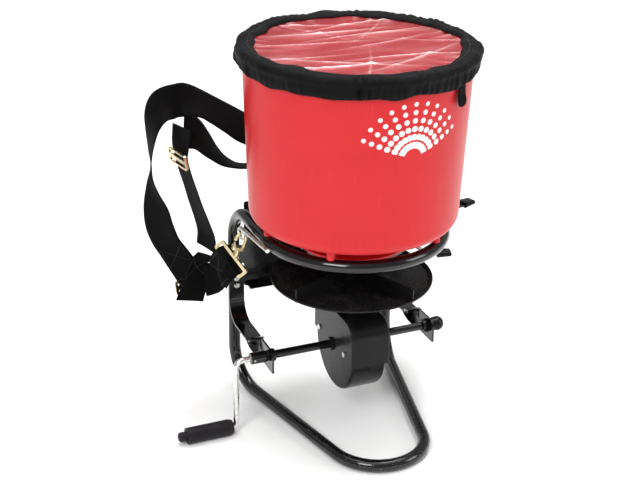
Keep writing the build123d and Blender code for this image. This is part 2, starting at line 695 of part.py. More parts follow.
with BuildPart() as crown_gear:
    with BuildSketch(Plane.YZ.offset(crown_face_x)):
        with Locations((0, shaft_z)):
            Circle(crown_r + gear_face / 2 + 1)
            Circle(shaft_d / 2 + seat_gap, mode=Mode.SUBTRACT)
            with PolarLocations(24, 5):
                Circle(7, mode=Mode.SUBTRACT)
    extrude(amount=crown_back)
    with BuildSketch(Plane.YZ.offset(crown_face_x + crown_back)):
        with Locations((0, shaft_z)):
            Circle(shaft_d)
            Circle(shaft_d / 2 + seat_gap, mode=Mode.SUBTRACT)
    extrude(amount=5)
    with BuildSketch(Plane.XY.offset(pinion_low), mode=Mode.PRIVATE) as tooth_outline:
        with BuildLine():
            Polyline(
                (crown_face_x + 0.5, 1.25), (crown_face_x - tooth_depth - 2.2, 0.7),
                (crown_face_x - tooth_depth - 2.2, -0.7), (crown_face_x + 0.5, -1.25), close=True,
            )
        make_face()
    tooth = extrude(tooth_outline.sketch, amount=gear_face, mode=Mode.PRIVATE)
    crown_axis = Axis((0, 0, shaft_z), (1, 0, 0))
    add([tooth.rotate(crown_axis, 360 * k / crown_teeth) for k in range(crown_teeth)])
finish(crown_gear.part, "crown_gear")

with BuildPart() as pinion:
    with BuildSketch(Plane.XY.offset(pinion_low)):
        Circle(pinion_r - 1.2 * gear_module)
        with BuildLine():
            tip = pinion_r + 0.9 * gear_module
            Polyline((5, 1.9), (tip, 0.7), (tip, -0.7), (5, -1.9), close=True)
        tooth_flat = make_face(mode=Mode.PRIVATE)
        for k in range(pinion_teeth):
            add(tooth_flat.rotate(Axis.Z, 360 * (k + 0.5) / pinion_teeth))
        Circle(drive_shaft_d / 2 + seat_gap, mode=Mode.SUBTRACT)
    extrude(amount=gear_face)
    with BuildSketch(Plane.XY.offset(pinion_low - 9)):
        Circle(pinion_r - 1.2 * gear_module)
        Circle(drive_shaft_d / 2 + seat_gap, mode=Mode.SUBTRACT)
    extrude(amount=9)
finish(pinion.part, "pinion")

screw_d = 4.0
case_screws_at = ((-50, 132), (44, 132))
with BuildPart() as gearbox_screws:
    for side in (-1, 1):
        with BuildSketch(Plane((side * cover_half, 0, 0), x_dir=(0, 1, 0), z_dir=(side, 0, 0))):
            with Locations(*[(y, side * z) for y, z in case_screws_at]):
                Circle(screw_d)
        extrude(amount=2.2)
finish(gearbox_screws.part, "gearbox_screws")

# ---------------------------------------------------------------- crank
sleeve_od = shaft_d + 5.3
sleeve_out = post_x + 28.2
sleeve_in = post_x + brace_t / 2 + bush_flange_t + 0.5
axle_left = -post_x - 18.2
axle_right = post_x + 24.2
collar_w = 6.5
collar_od = shaft_d + 7.3
collar_x = post_x - brace_t / 2 - bush_flange_t - 0.5
rod_bend_r = (12.0, 6.0)                           # at the axle, at the grip
crank_low_z = shaft_z - crank_throw
crank_pin_d = 3.2
crank_pin_x = (axle_left - 1.0 - sleeve_out) / 2

with BuildPart() as crank_axle:
    with BuildSketch(Plane.YZ.offset(axle_left)):
        with Locations((0, shaft_z)):
            Circle(shaft_d / 2)
    extrude(amount=axle_right - axle_left)
    chamfer(crank_axle.edges().filter_by(GeomType.CIRCLE), 0.8)
finish(crank_axle.part, "crank_axle")

for side, name in sides:
    with BuildPart() as axle_bush:
        outward = Plane((side * (post_x - brace_t / 2 - bush_flange_t), 0, shaft_z), x_dir=(0, 1, 0),
                        z_dir=(side, 0, 0))
        with BuildSketch(outward):
            Circle(bush_flange_d / 2)
            Circle(shaft_d / 2 + run_gap, mode=Mode.SUBTRACT)
        extrude(amount=bush_flange_t)
        with BuildSketch(outward.offset(bush_flange_t)):
            Circle(bush_od / 2)
            Circle(shaft_d / 2 + run_gap, mode=Mode.SUBTRACT)
        extrude(amount=brace_t + bush_flange_t)
    finish(axle_bush.part, f"axle_bush_{name}")
    with BuildPart() as collar:
        with BuildSketch(Plane((side * collar_x, 0, shaft_z), x_dir=(0, 1, 0), z_dir=(-side, 0, 0))):
            Circle(collar_od / 2)
            Circle(shaft_d / 2 + seat_gap, mode=Mode.SUBTRACT)
        extrude(amount=collar_w)
        collar_edges = collar.edges().filter_by(GeomType.CIRCLE)
        chamfer(collar_edges.filter_by(lambda e: e.radius > collar_od / 2.1), 0.8)
    finish(collar.part, f"axle_collar_{name}")

with BuildPart() as crank_sleeve:
    with BuildSketch(Plane.YZ.offset(-sleeve_out)):
        with Locations((0, shaft_z)):
            Circle(sleeve_od / 2)
    extrude(amount=sleeve_out - sleeve_in)
    chamfer(crank_sleeve.edges().filter_by(GeomType.CIRCLE), 1.0)
    with BuildSketch(Plane.YZ.offset(axle_left - 0.5)):
        with Locations((0, shaft_z)):
            Circle(shaft_d / 2 + seat_gap)
    extrude(amount=20, mode=Mode.SUBTRACT)
    with BuildSketch(Plane.YZ.offset(-sleeve_out - 1)):
        with Locations((0, shaft_z)):
            Circle(rod_d / 2 + seat_gap)
    extrude(amount=sleeve_out + axle_left + 1, mode=Mode.SUBTRACT)
    with BuildSketch(Plane((crank_pin_x, 0, shaft_z), x_dir=(1, 0, 0), z_dir=(0, -1, 0))):
        Circle(crank_pin_d / 2 + seat_gap)
    extrude(amount=sleeve_od, both=True, mode=Mode.SUBTRACT)
finish(crank_sleeve.part, "crank_sleeve")

grip_start = crank_plane + rod_bend_r[1] + 0.5
grip_end = grip_start + grip_length
with BuildPart() as crank_arm:
    with BuildLine() as rod:
        FilletPolyline(
            (axle_left - 1.0, 0, shaft_z), (-crank_plane, 0, shaft_z), (-crank_plane, 0, crank_low_z),
            (-grip_end - 8, 0, crank_low_z), radius=rod_bend_r,
        )
    with BuildSketch(Plane((axle_left - 1.0, 0, shaft_z), z_dir=(-1, 0, 0))):
        Circle(rod_d / 2)
    sweep(path=rod.wires()[0])
    with BuildSketch(Plane((crank_pin_x, 0, shaft_z), x_dir=(1, 0, 0), z_dir=(0, -1, 0))):
        Circle(crank_pin_d / 2 + seat_gap)
    extrude(amount=sleeve_od, both=True, mode=Mode.SUBTRACT)
finish(crank_arm.part, "crank_arm")

with BuildPart() as crank_pin:
    with BuildSketch(Plane((crank_pin_x, 0, shaft_z), x_dir=(1, 0, 0), z_dir=(0, -1, 0))):
        Circle(crank_pin_d / 2)
    extrude(amount=sleeve_od / 2 + 0.8, both=True)
finish(crank_pin.part, "crank_pin")

with BuildPart() as crank_grip:
    with BuildSketch(Plane((0, 0, crank_low_z), x_dir=(1, 0, 0), z_dir=(0, -1, 0))):
        with BuildLine():
            Polyline(
                (-grip_end, rod_d / 2 + run_gap), (-grip_end, grip_d / 2), (-grip_start - 6, grip_d / 2),
                (-grip_start, grip_d / 2 - 2), (-grip_start, rod_d / 2 + run_gap), close=True,
            )
        make_face()
    revolve(axis=Axis((0, 0, crank_low_z), (1, 0, 0)))
    fillet(crank_grip.edges().filter_by(GeomType.CIRCLE).filter_by(lambda e: e.radius > rod_d), 0.9)
finish(crank_grip.part, "crank_grip")

nub_d = 15.0
with BuildPart() as grip_nut:
    with BuildSketch(Plane((-grip_end - 0.6, 0, crank_low_z), x_dir=(0, 1, 0), z_dir=(-1, 0, 0))):
        Circle(nub_d / 2)
    extrude(amount=12)
    fillet(grip_nut.faces().sort_by(Axis.X)[0].edges(), 4)
    with BuildSketch(Plane((-grip_end, 0, crank_low_z), x_dir=(0, 1, 0), z_dir=(-1, 0, 0))):
        Circle(rod_d / 2 + 0.02)
    extrude(amount=8.2, mode=Mode.SUBTRACT)
finish(grip_nut.part, "grip_nut")

cap_d = shaft_d + 10.3
cap_start = post_x + brace_t / 2 + bush_flange_t + 0.6
with BuildPart() as axle_cap:
    with BuildSketch(Plane((0, 0, shaft_z), x_dir=(1, 0, 0), z_dir=(0, -1, 0))):
        with BuildLine():
            Line((cap_start, 0), (cap_start, cap_d / 2 - 2))
            Line((cap_start, cap_d / 2 - 2), (cap_start + 13, cap_d / 2))
            EllipticalCenterArc((cap_start + 13, 0), 11, cap_d / 2, start_angle=0, arc_size=90)
            Line((cap_start + 24, 0), (cap_start, 0))
        make_face()
    revolve(axis=Axis((0, 0, shaft_z), (1, 0, 0)))
    with BuildSketch(Plane.YZ.offset(cap_start - 1)):
        with Locations((0, shaft_z)):
            Circle(shaft_d / 2 + seat_gap)
    extrude(amount=axle_right - cap_start + 1.3, mode=Mode.SUBTRACT)
finish(axle_cap.part, "axle_cap")

# ---------------------------------------------------------------- rain cover
hem_r = lip_r + soft_gap + 0.2
cover_low_z = cover_top - band_skirt
panel_t = 1.0
panel_overlap = 8.0
panel_z = tub_top_z + soft_gap

with BuildPart() as cover_band:
    with BuildSketch(Plane.XZ):
        with BuildLine():
            Polyline(
                (hem_r, cover_low_z), (cover_r - 2, cover_low_z), (cover_r, cover_low_z + 5),
                (cover_r, cover_top - 4), (cover_r - 4, cover_top), (cover_r - band_width, cover_top),
                (cover_r - band_width, panel_z + panel_t + 0.02), (hem_r, panel_z + panel_t + 0.02),
                close=True,
            )
        make_face()
    revolve(axis=Axis.Z)
finish(cover_band.part, "cover_band")

with BuildPart() as cover_panel:
    with BuildSketch(Plane.XY.offset(panel_z)):
        Circle(cover_r - band_width + panel_overlap)
    extrude(amount=panel_t)
finish(cover_panel.part, "cover_panel")

tab_angle = -57.0
tab_w = 18.0
tab_length = 36.0
with BuildPart() as cover_tab:
    outward = Vector(1, 0, 0).rotate(Axis.Z, tab_angle)
    with BuildSketch(Plane(outward * (cover_r + 0.02) + Vector(0, 0, cover_low_z + 8),
                           x_dir=outward.cross(Vector(0, 0, 1)), z_dir=outward)):
        with Locations((0, tab_length / 2)):
            RectangleRounded(tab_w, tab_length, 3)
    extrude(amount=2.5)
finish(cover_tab.part, "cover_tab")

# ---------------------------------------------------------------- snap hooks
hook_wire = 5.0
bow_r = 8.0
hook_leg = 13.0
hook_body = 5.0
hook_play = 0.2                                   # between a hook's bow and the eye's wire
bar_wire = 4.5
bar_depth = 13.0
swivel_d = 9.0
swivel_length = 9.0
gate_eye_r = 2.0                                  # the gate turns on a pin between two cheeks
gate_half = 1.5
gate_cheek = 0.9
gate_pin_d = 1.5
gate_reach = 4.4
hook_swing = {-1: -90.0, 1: 50.0}                 # where each hook sits round its eye, in degrees
hook_lean = 20.0                                  # and how far it leans out
bar_away = {-1: Vector(-0.65, 0.35, -0.67), 1: None}
bar_along = {-1: Vector(-0.15, 0.35, 0.92), 1: Vector(0.41, -0.79, 0.46)}


def hook_frame(side):
    """Plane of a snap hook: x across the bow, y from the bow towards the webbing."""
    weld, along, _ = loop_axes(side)
    swing, lean = math.radians(hook_swing[side]), math.radians(hook_lean)
    ring = along * math.cos(swing) + Vector(0, 0, 1) * math.sin(swing)
    tangent = along * -math.sin(swing) + Vector(0, 0, 1) * math.cos(swing)
    away = ring * math.cos(lean) + Vector(side, 0, 0) * math.sin(lean)
    held = weld + along * loop_run - Vector(0, 0, 1) * eye_r + ring * eye_r
    middle = held + away * (bow_r - wire_d / 2 - hook_wire / 2 - hook_play)
    return Plane(middle, x_dir=away.cross(tangent), z_dir=tangent)


for side, name in sides:
    plane = hook_frame(side)
    with BuildPart() as snap_hook:
        with BuildLine(plane) as bow:
            Line((bow_r, hook_leg + 1), (bow_r, 0))
            CenterArc((0, 0), bow_r, 0, -200)
        with BuildSketch(Plane(bow.wires()[0] @ 0, z_dir=bow.wires()[0] % 0)):
            Circle(hook_wire / 2)
        sweep(path=bow.wires()[0])
        shank = Plane(plane.from_local_coords(Vector(0, hook_leg, 0)), x_dir=plane.x_dir, z_dir=plane.y_dir)
        with BuildSketch(shank):
            RectangleRounded(2 * bow_r + hook_wire, hook_wire + 2, 2.5)
        extrude(amount=hook_body)
        with BuildSketch(shank.offset(hook_body)):
            Circle(swivel_d / 2)
        extrude(amount=swivel_length)
        pivot = plane.from_local_coords(Vector(-bow_r, hook_leg - gate_eye_r - hook_play, 0))
        for cheek_side in (-1, 1):
            cheek = Plane(pivot + plane.z_dir * cheek_side * gate_half, x_dir=plane.x_dir,
                          z_dir=plane.z_dir * cheek_side)
            with BuildSketch(cheek):
                Circle(gate_eye_r)
                with Locations((0, cheek_side * (gate_eye_r + hook_play) / 2)):
                    Rectangle(2 * gate_eye_r, gate_eye_r + hook_play + gate_pin_d / 2)
            extrude(amount=gate_cheek)
        with BuildSketch(Plane(pivot, x_dir=plane.x_dir, z_dir=plane.z_dir)):
            Circle(gate_pin_d / 2)
        extrude(amount=gate_half + gate_cheek / 2, both=True)
    finish(snap_hook.part, f"snap_hook_{name}")
    with BuildPart() as hook_gate:
        with BuildSketch(Plane(pivot, x_dir=plane.x_dir, z_dir=plane.z_dir)):
            Circle(gate_eye_r)
        extrude(amount=gate_half - hook_play, both=True)
        with BuildSketch(Plane(pivot, x_dir=plane.x_dir, z_dir=plane.y_dir * -1)):
            Circle(gate_half - hook_play)
        extrude(amount=gate_reach)
        with BuildSketch(Plane(pivot, x_dir=plane.x_dir, z_dir=plane.z_dir)):
            Circle(gate_pin_d / 2 + run_gap)
        extrude(amount=gate_half, both=True, mode=Mode.SUBTRACT)
    finish(hook_gate.part, f"hook_gate_{name}")
    with BuildPart() as webbing_bar:
        away = (bar_away[side] or plane.y_dir).normalized()
        bar_x = (bar_along[side] - away * bar_along[side].dot(away)).normalized()
        swivel_end = plane.from_local_coords(Vector(0, hook_leg + hook_body + swivel_length, 0))
        with BuildSketch(Plane(swivel_end + away * ((bar_depth + bar_wire) / 2 + 0.3), x_dir=bar_x,
                               z_dir=bar_x.cross(away))):
            RectangleRounded(strap_width + 2 * bar_wire + 2, bar_depth + bar_wire, bar_wire)
            RectangleRounded(strap_width + 2, bar_depth - bar_wire, 1.5, mode=Mode.SUBTRACT)
        extrude(amount=bar_wire / 2, both=True)
    finish(webbing_bar.part, f"webbing_bar_{name}")

# ---------------------------------------------------------------- harness webbing
tub_clear_r = 164.5                               # webbing behind the hopper


def on_tub(angle, z):
    """A place on the webbing behind the hopper, and the way its face looks."""
    a = math.radians(angle)
    return (tub_clear_r * math.cos(a), tub_clear_r * math.sin(a), z), (-math.cos(a), -math.sin(a), 0)


def ribbon(stations):
    """Flat webbing through stations of a centre and the face's outward direction."""
    centres = [Vector(*centre) for centre, _ in stations]
    sections = []
    for k, (_, facing) in enumerate(stations):
        before, after = centres[max(k - 1, 0)], centres[min(k + 1, len(centres) - 1)]
        travel = (after - before).normalized()
        width = travel.cross(Vector(*facing)).normalized()
        with BuildSketch(Plane(centres[k], x_dir=width, z_dir=travel)) as section:
            Rectangle(strap_width, strap_thickness)
        sections.append(section.sketch)
    loft(sections, ruled=True)


shoulder_route = [
    ((171, 96, 352), (-0.89, -0.46, 0)),
    ((160, 110, 382), (-0.84, -0.54, 0)),
    ((133, 128, 408), (-0.72, -0.69, 0)),
    on_tub(58, 420), on_tub(76, 424), on_tub(94, 424), on_tub(110, 426),
    ((-88, 148, 426), (0.3, -0.92, 0.2)),
    ((-115, 152, 433), (0.26, -0.80, 0.45)),
    ((-135, 156, 446), (0.30, -0.74, 0.58)),
    ((-158, 158, 462), (0.36, -0.68, 0.62)),
    ((-181, 158, 477), (0.38, -0.66, 0.62)),
    ((-203, 156, 486), (0.26, -0.84, 0.45)),
    ((-219, 153, 488), (0.05, -0.97, 0.15)),
    ((-235, 151, 485), (-0.45, -0.85, 0.25)),
    ((-248, 151, 475), (-0.80, -0.48, 0.35)),
    ((-256, 152, 458), (-0.96, -0.20, 0.18)),
    ((-259, 154, 434), (-0.99, 0.02, 0.05)),
    ((-260, 156, 405), (-0.98, 0.20, 0)),
    ((-259, 157, 381), (-0.95, 0.28, 0)),
    ((-257, 157, 353), (-0.98, -0.10, -0.05)),
    ((-253, 157, 320), (-0.82, -0.56, -0.10)),
    ((-248, 161, 289), (-0.68, -0.72, -0.12)),
    ((-240, 161, 264), (-0.62, -0.74, -0.22)),
    ((-228, 161, 243), (-0.56, -0.78, -0.26)),
    ((-216, 161, 222), (-0.50, -0.82, -0.26)),
    ((-205, 161, 202), (-0.48, -0.84, -0.26)),
    ((-196, 161, 184), (-0.50, -0.82, -0.26)),
]
with BuildPart() as strap_shoulder:
    ribbon(shoulder_route)
finish(strap_shoulder.part, "strap_shoulder")

waist_route = [
    on_tub(52, 360), on_tub(66, 360), on_tub(80, 360), on_tub(94, 360), on_tub(108, 361),
    ((-85, 151, 363), (0.38, -0.55, 0.75)),
    ((-111, 156, 368), (0.50, 0.10, 0.86)),
    ((-133, 156, 377), (0.54, -0.02, 0.84)),
    ((-154, 154, 392), (0.64, -0.32, 0.69)),
    ((-173, 150, 411), (0.64, -0.56, 0.52)),
    ((-191, 146, 430), (0.49, -0.74, 0.45)),
    ((-204, 143, 436), (0.22, -0.94, 0.25)),
    ((-213, 142, 436), (0, -0.99, 0.10)),
]
with BuildPart() as strap_waist:
    ribbon(waist_route)
finish(strap_waist.part, "strap_waist")

drop_route = [
    ((-218, 136, 424), (-0.97, -0.20, 0.05)),
    ((-219, 136, 410), (-0.98, -0.14, -0.10)),
    ((-214, 135, 386), (-0.97, -0.14, -0.18)),
    ((-206, 134, 358), (-0.96, -0.15, -0.22)),
    ((-198, 133, 329), (-0.95, -0.18, -0.24)),
    ((-189, 132, 300), (-0.94, -0.22, -0.24)),
    ((-183, 132, 276), (-0.95, -0.26, -0.10)),
    ((-184, 132, 254), (-0.95, -0.28, 0.10)),
]
with BuildPart() as strap_drop:
    ribbon(drop_route)
finish(strap_drop.part, "strap_drop")

tail_route = [
    ((-188, 126, 247), (0.50, -0.84, -0.20)),
    ((-199, 128, 234), (0.44, -0.86, -0.25)),
    ((-205, 128, 217), (0.40, -0.90, -0.12)),
    ((-207, 128, 196), (0.30, -0.95, 0)),
    ((-215, 128, 171), (0.20, -0.98, 0)),
]
with BuildPart() as strap_tail:
    ribbon(tail_route)
finish(strap_tail.part, "strap_tail")

lead_route = [
    ((-193, 117, 207), (-0.50, -0.68, 0.53)),
    ((-184, 109, 212), (-0.62, -0.55, 0.50)),
    ((-180, 95, 224), (-0.78, -0.50, 0.30)),
    ((-179, 80, 240), (-0.88, -0.42, 0.12)),
    ((-180, 67, 255), (-0.92, -0.38, 0.05)),
]
with BuildPart() as strap_lead:
    ribbon(lead_route)
finish(strap_lead.part, "strap_lead")

# ---------------------------------------------------------------- sliders on the webbing
slider_t = 3.0
slider_depth = 24.0
slider_slot = 6.0
sliders = (
    ("top_slider", (-224, 136, 404), (0.14, -0.98, 0.05), (-0.97, -0.14, -0.15)),
    ("bottom_slider", (-208, 135, 199), (0.95, 0.25, 0.14), (0.26, -0.96, 0)),
)
for name, centre, across, facing in sliders:
    with BuildPart() as slider:
        with BuildSketch(Plane(Vector(*centre), x_dir=Vector(*across), z_dir=Vector(*facing))):
            RectangleRounded(strap_width + 10, slider_depth, 5)
            with Locations((0, -slider_depth / 4), (0, slider_depth / 4)):
                RectangleRounded(strap_width + 1, slider_slot, 2, mode=Mode.SUBTRACT)
        extrude(amount=slider_t / 2, both=True)
    finish(slider.part, name)
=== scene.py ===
# %% [markdown]
# # A hand-crank salt spreader, dressed in Blender
# The spreader is a red tub on a bent tube frame, with a geared impeller under it, a crank at one side, a
# cloth-edged rain cover and a carrying harness. The CAD model already holds every rigid part at its real
# size, so this lesson adds materials to those parts and makes the soft and finely shaped pieces as surfaces
# worked out with numpy. Everything is in metres, with the front towards -Y.

# %% Load the frame
import json
import math

import bpy
import numpy as np
from mathutils import Matrix, Vector
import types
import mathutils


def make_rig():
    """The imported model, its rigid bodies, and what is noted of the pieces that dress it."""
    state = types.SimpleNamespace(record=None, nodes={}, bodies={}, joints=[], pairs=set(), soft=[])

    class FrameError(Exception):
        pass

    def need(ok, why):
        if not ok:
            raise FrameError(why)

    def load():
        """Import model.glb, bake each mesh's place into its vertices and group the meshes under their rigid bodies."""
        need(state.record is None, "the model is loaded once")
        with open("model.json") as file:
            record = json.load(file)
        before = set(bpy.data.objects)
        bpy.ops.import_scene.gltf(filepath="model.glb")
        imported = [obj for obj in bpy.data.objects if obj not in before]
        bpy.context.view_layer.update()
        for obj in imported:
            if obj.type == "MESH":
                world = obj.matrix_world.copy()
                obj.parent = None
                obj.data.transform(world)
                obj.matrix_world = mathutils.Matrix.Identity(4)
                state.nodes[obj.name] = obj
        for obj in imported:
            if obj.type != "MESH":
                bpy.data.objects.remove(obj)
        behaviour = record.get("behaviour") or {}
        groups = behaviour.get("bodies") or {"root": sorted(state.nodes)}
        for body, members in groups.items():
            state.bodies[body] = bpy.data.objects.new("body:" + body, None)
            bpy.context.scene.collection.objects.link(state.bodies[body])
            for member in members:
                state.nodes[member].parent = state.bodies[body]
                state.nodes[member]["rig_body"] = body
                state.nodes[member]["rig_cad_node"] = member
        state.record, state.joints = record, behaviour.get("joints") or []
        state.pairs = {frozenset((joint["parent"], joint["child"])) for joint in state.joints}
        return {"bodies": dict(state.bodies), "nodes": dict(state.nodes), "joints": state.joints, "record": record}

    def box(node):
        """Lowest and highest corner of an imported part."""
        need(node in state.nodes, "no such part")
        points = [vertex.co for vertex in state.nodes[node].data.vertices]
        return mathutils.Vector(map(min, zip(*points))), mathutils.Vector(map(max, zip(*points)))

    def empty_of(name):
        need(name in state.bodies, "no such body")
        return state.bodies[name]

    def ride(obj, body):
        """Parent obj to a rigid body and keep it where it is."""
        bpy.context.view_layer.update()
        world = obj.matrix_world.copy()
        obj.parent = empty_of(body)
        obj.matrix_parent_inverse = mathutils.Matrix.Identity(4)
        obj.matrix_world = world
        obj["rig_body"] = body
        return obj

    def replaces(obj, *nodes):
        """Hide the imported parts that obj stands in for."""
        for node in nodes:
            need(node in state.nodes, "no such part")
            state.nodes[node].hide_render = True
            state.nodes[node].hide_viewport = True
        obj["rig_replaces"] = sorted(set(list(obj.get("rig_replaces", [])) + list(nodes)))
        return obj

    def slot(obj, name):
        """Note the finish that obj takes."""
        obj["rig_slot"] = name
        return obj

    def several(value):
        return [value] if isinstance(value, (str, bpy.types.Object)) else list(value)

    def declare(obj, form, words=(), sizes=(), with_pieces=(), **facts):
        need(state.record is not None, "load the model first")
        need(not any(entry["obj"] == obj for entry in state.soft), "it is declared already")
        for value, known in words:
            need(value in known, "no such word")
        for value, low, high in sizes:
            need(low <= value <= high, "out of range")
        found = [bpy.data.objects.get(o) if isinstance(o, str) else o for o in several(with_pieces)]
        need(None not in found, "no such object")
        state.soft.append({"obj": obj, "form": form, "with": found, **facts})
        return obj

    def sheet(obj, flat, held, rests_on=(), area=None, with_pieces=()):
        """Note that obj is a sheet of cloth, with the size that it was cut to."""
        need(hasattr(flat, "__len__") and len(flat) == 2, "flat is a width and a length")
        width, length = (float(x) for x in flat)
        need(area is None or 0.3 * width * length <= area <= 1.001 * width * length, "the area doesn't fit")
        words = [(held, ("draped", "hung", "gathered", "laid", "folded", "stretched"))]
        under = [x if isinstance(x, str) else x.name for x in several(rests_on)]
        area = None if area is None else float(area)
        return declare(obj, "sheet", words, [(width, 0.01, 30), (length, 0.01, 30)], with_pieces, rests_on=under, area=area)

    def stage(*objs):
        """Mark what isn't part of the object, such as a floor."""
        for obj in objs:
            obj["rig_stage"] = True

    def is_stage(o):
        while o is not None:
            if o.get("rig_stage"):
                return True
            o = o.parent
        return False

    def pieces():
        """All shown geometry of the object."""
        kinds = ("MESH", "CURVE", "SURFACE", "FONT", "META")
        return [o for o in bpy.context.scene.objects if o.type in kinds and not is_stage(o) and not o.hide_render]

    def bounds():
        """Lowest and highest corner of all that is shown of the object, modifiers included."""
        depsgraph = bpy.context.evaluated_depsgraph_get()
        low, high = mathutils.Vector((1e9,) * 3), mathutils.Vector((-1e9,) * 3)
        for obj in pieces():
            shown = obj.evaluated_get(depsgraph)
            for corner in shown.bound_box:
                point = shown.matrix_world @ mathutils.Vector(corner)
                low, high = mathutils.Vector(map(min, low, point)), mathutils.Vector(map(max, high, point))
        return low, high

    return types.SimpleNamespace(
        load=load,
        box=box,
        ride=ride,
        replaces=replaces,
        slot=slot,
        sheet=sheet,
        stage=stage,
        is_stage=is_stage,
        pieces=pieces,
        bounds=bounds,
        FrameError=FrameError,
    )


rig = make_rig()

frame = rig.load()
cad_box = [list(corner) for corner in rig.bounds()]
nodes = frame["nodes"]
print("CAD nodes:", len(nodes), "box:", np.round(cad_box, 3).tolist())

# %% [markdown]
# ## Camera
# A camera is a place, a direction and a lens. Here the place is found from an azimuth and an elevation round
# a point inside the object, the way one walks round a table. A long lens keeps the verticals of the tub
# nearly parallel, and a small roll stands for a camera held slightly off level.

# %% Camera
AZIMUTH, ELEVATION, ROLL = math.radians(-23.45), math.radians(24.7), math.radians(1.11)
AIM = Vector((-0.0449, 0.0172, 0.2939))
DISTANCE, LENS = 1.948, 73.9

back = Vector((
    math.sin(AZIMUTH) * math.cos(ELEVATION), -math.cos(AZIMUTH) * math.cos(ELEVATION), math.sin(ELEVATION)
))
level_right = (-back).cross(Vector((0, 0, 1))).normalized()
level_up = level_right.cross(-back)
right = level_right * math.cos(ROLL) + level_up * math.sin(ROLL)
up = level_up * math.cos(ROLL) - level_right * math.sin(ROLL)
camera = bpy.data.objects.new("camera", bpy.data.cameras.new("camera"))
camera.data.lens = LENS
turned = Matrix((right, up, back)).transposed().to_4x4()
camera.matrix_world = Matrix.Translation(AIM + back * DISTANCE) @ turned
bpy.context.scene.collection.objects.link(camera)
bpy.context.scene.camera = camera
print("camera at", np.round(camera.matrix_world.translation, 3))

# %% [markdown]
# ## Light and floor
# Black glossy paint shows its shape only through what it reflects, so the light comes from a few large soft
# boxes, not from small lamps. A pale floor, a wide soft sun overhead and a light grey world keep the shadows
# open, while the world stays dim enough for black to look black. Area lights are aimed with `to_track_quat`,
# which turns a direction into a rotation.

# %% Light and floor
def soft_box(name, place, size, power):
    """A square area light at `place`, `size` metres across, aimed at the middle of the object."""
    light = bpy.data.objects.new(name, bpy.data.lights.new(name, "AREA"))
    light.data.size, light.data.energy = size, power
    light.location = place
    light.rotation_euler = (AIM - Vector(place)).to_track_quat("-Z", "Y").to_euler()
    bpy.context.scene.collection.objects.link(light)


soft_box("key_light", (-1.9, -1.9, 2.3), 1.3, 62)
soft_box("fill_light", (2.2, -1.5, 1.5), 1.1, 22)
soft_box("top_light", (0.3, 0.5, 2.9), 1.6, 60)
wash = bpy.data.objects.new("wash", bpy.data.lights.new("wash", "SUN"))
wash.data.energy, wash.data.angle = 1.1, math.radians(60)
bpy.context.scene.collection.objects.link(wash)
bpy.context.scene.view_settings.view_transform = "Standard"
world = bpy.data.worlds.new("studio")
world.use_nodes = True
backdrop = world.node_tree.nodes["Background"]
backdrop.inputs["Color"].default_value = (1.0, 1.0, 1.0, 1)
backdrop.inputs["Strength"].default_value = 0.42
bpy.context.scene.world = world

FLOOR_HALF = 6.0
floor_mesh = bpy.data.meshes.new("floor")
floor_corners = [(x * FLOOR_HALF, y * FLOOR_HALF, 0) for x, y in ((-1, -1), (1, -1), (1, 1), (-1, 1))]
floor_mesh.from_pydata(floor_corners, [], [(0, 1, 2, 3)])
floor = bpy.data.objects.new("floor", floor_mesh)
bpy.context.scene.collection.objects.link(floor)
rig.stage(floor)
pale = bpy.data.materials.new("studio_floor")
pale.use_nodes = True
pale_shader = pale.node_tree.nodes["Principled BSDF"]
pale_shader.inputs["Base Color"].default_value = (0.93, 0.93, 0.925, 1)
pale_shader.inputs["Roughness"].default_value = 0.9
floor_mesh.materials.append(pale)
print("floor", 2 * FLOOR_HALF, "m across")

# %% [markdown]
# ## Shader maths as Python
# A material is a small program drawn as nodes. Written with sockets it is long, so one class wraps a socket
# and turns `+`, `-`, `*` and `/` into Math nodes, and one method adds any other node. `1 - mask` works too,
# because the reflected operators are there.

# %% Socket and finish helpers
class Value:
    """A shader socket that takes part in arithmetic: each operator adds one Math node."""

    def __init__(self, finish, socket):
        self.finish, self.socket = finish, socket

    def math(self, operation, *others):
        """The Math node `operation` on this value and the others."""
        inputs = dict(enumerate((self, *others)))
        return self.finish.node("ShaderNodeMath", {"operation": operation}, inputs)

    def __add__(self, other):
        return self.math("ADD", other)

    __radd__ = __add__

    def __sub__(self, other):
        return self.math("SUBTRACT", other)

    def __rsub__(self, other):
        return self.finish.node("ShaderNodeMath", {"operation": "SUBTRACT"}, {0: other, 1: self})

    def __mul__(self, other):
        return self.math("MULTIPLY", other)

    __rmul__ = __mul__

    def __truediv__(self, other):
        return self.math("DIVIDE", other)

    def step(self, low, high):
        """0 below `low`, 1 above `high`, and a smooth rise between them."""
        return self.finish.node("ShaderNodeMapRange", {"interpolation_type": "SMOOTHSTEP"},
                                {"Value": self, "From Min": low, "From Max": high})


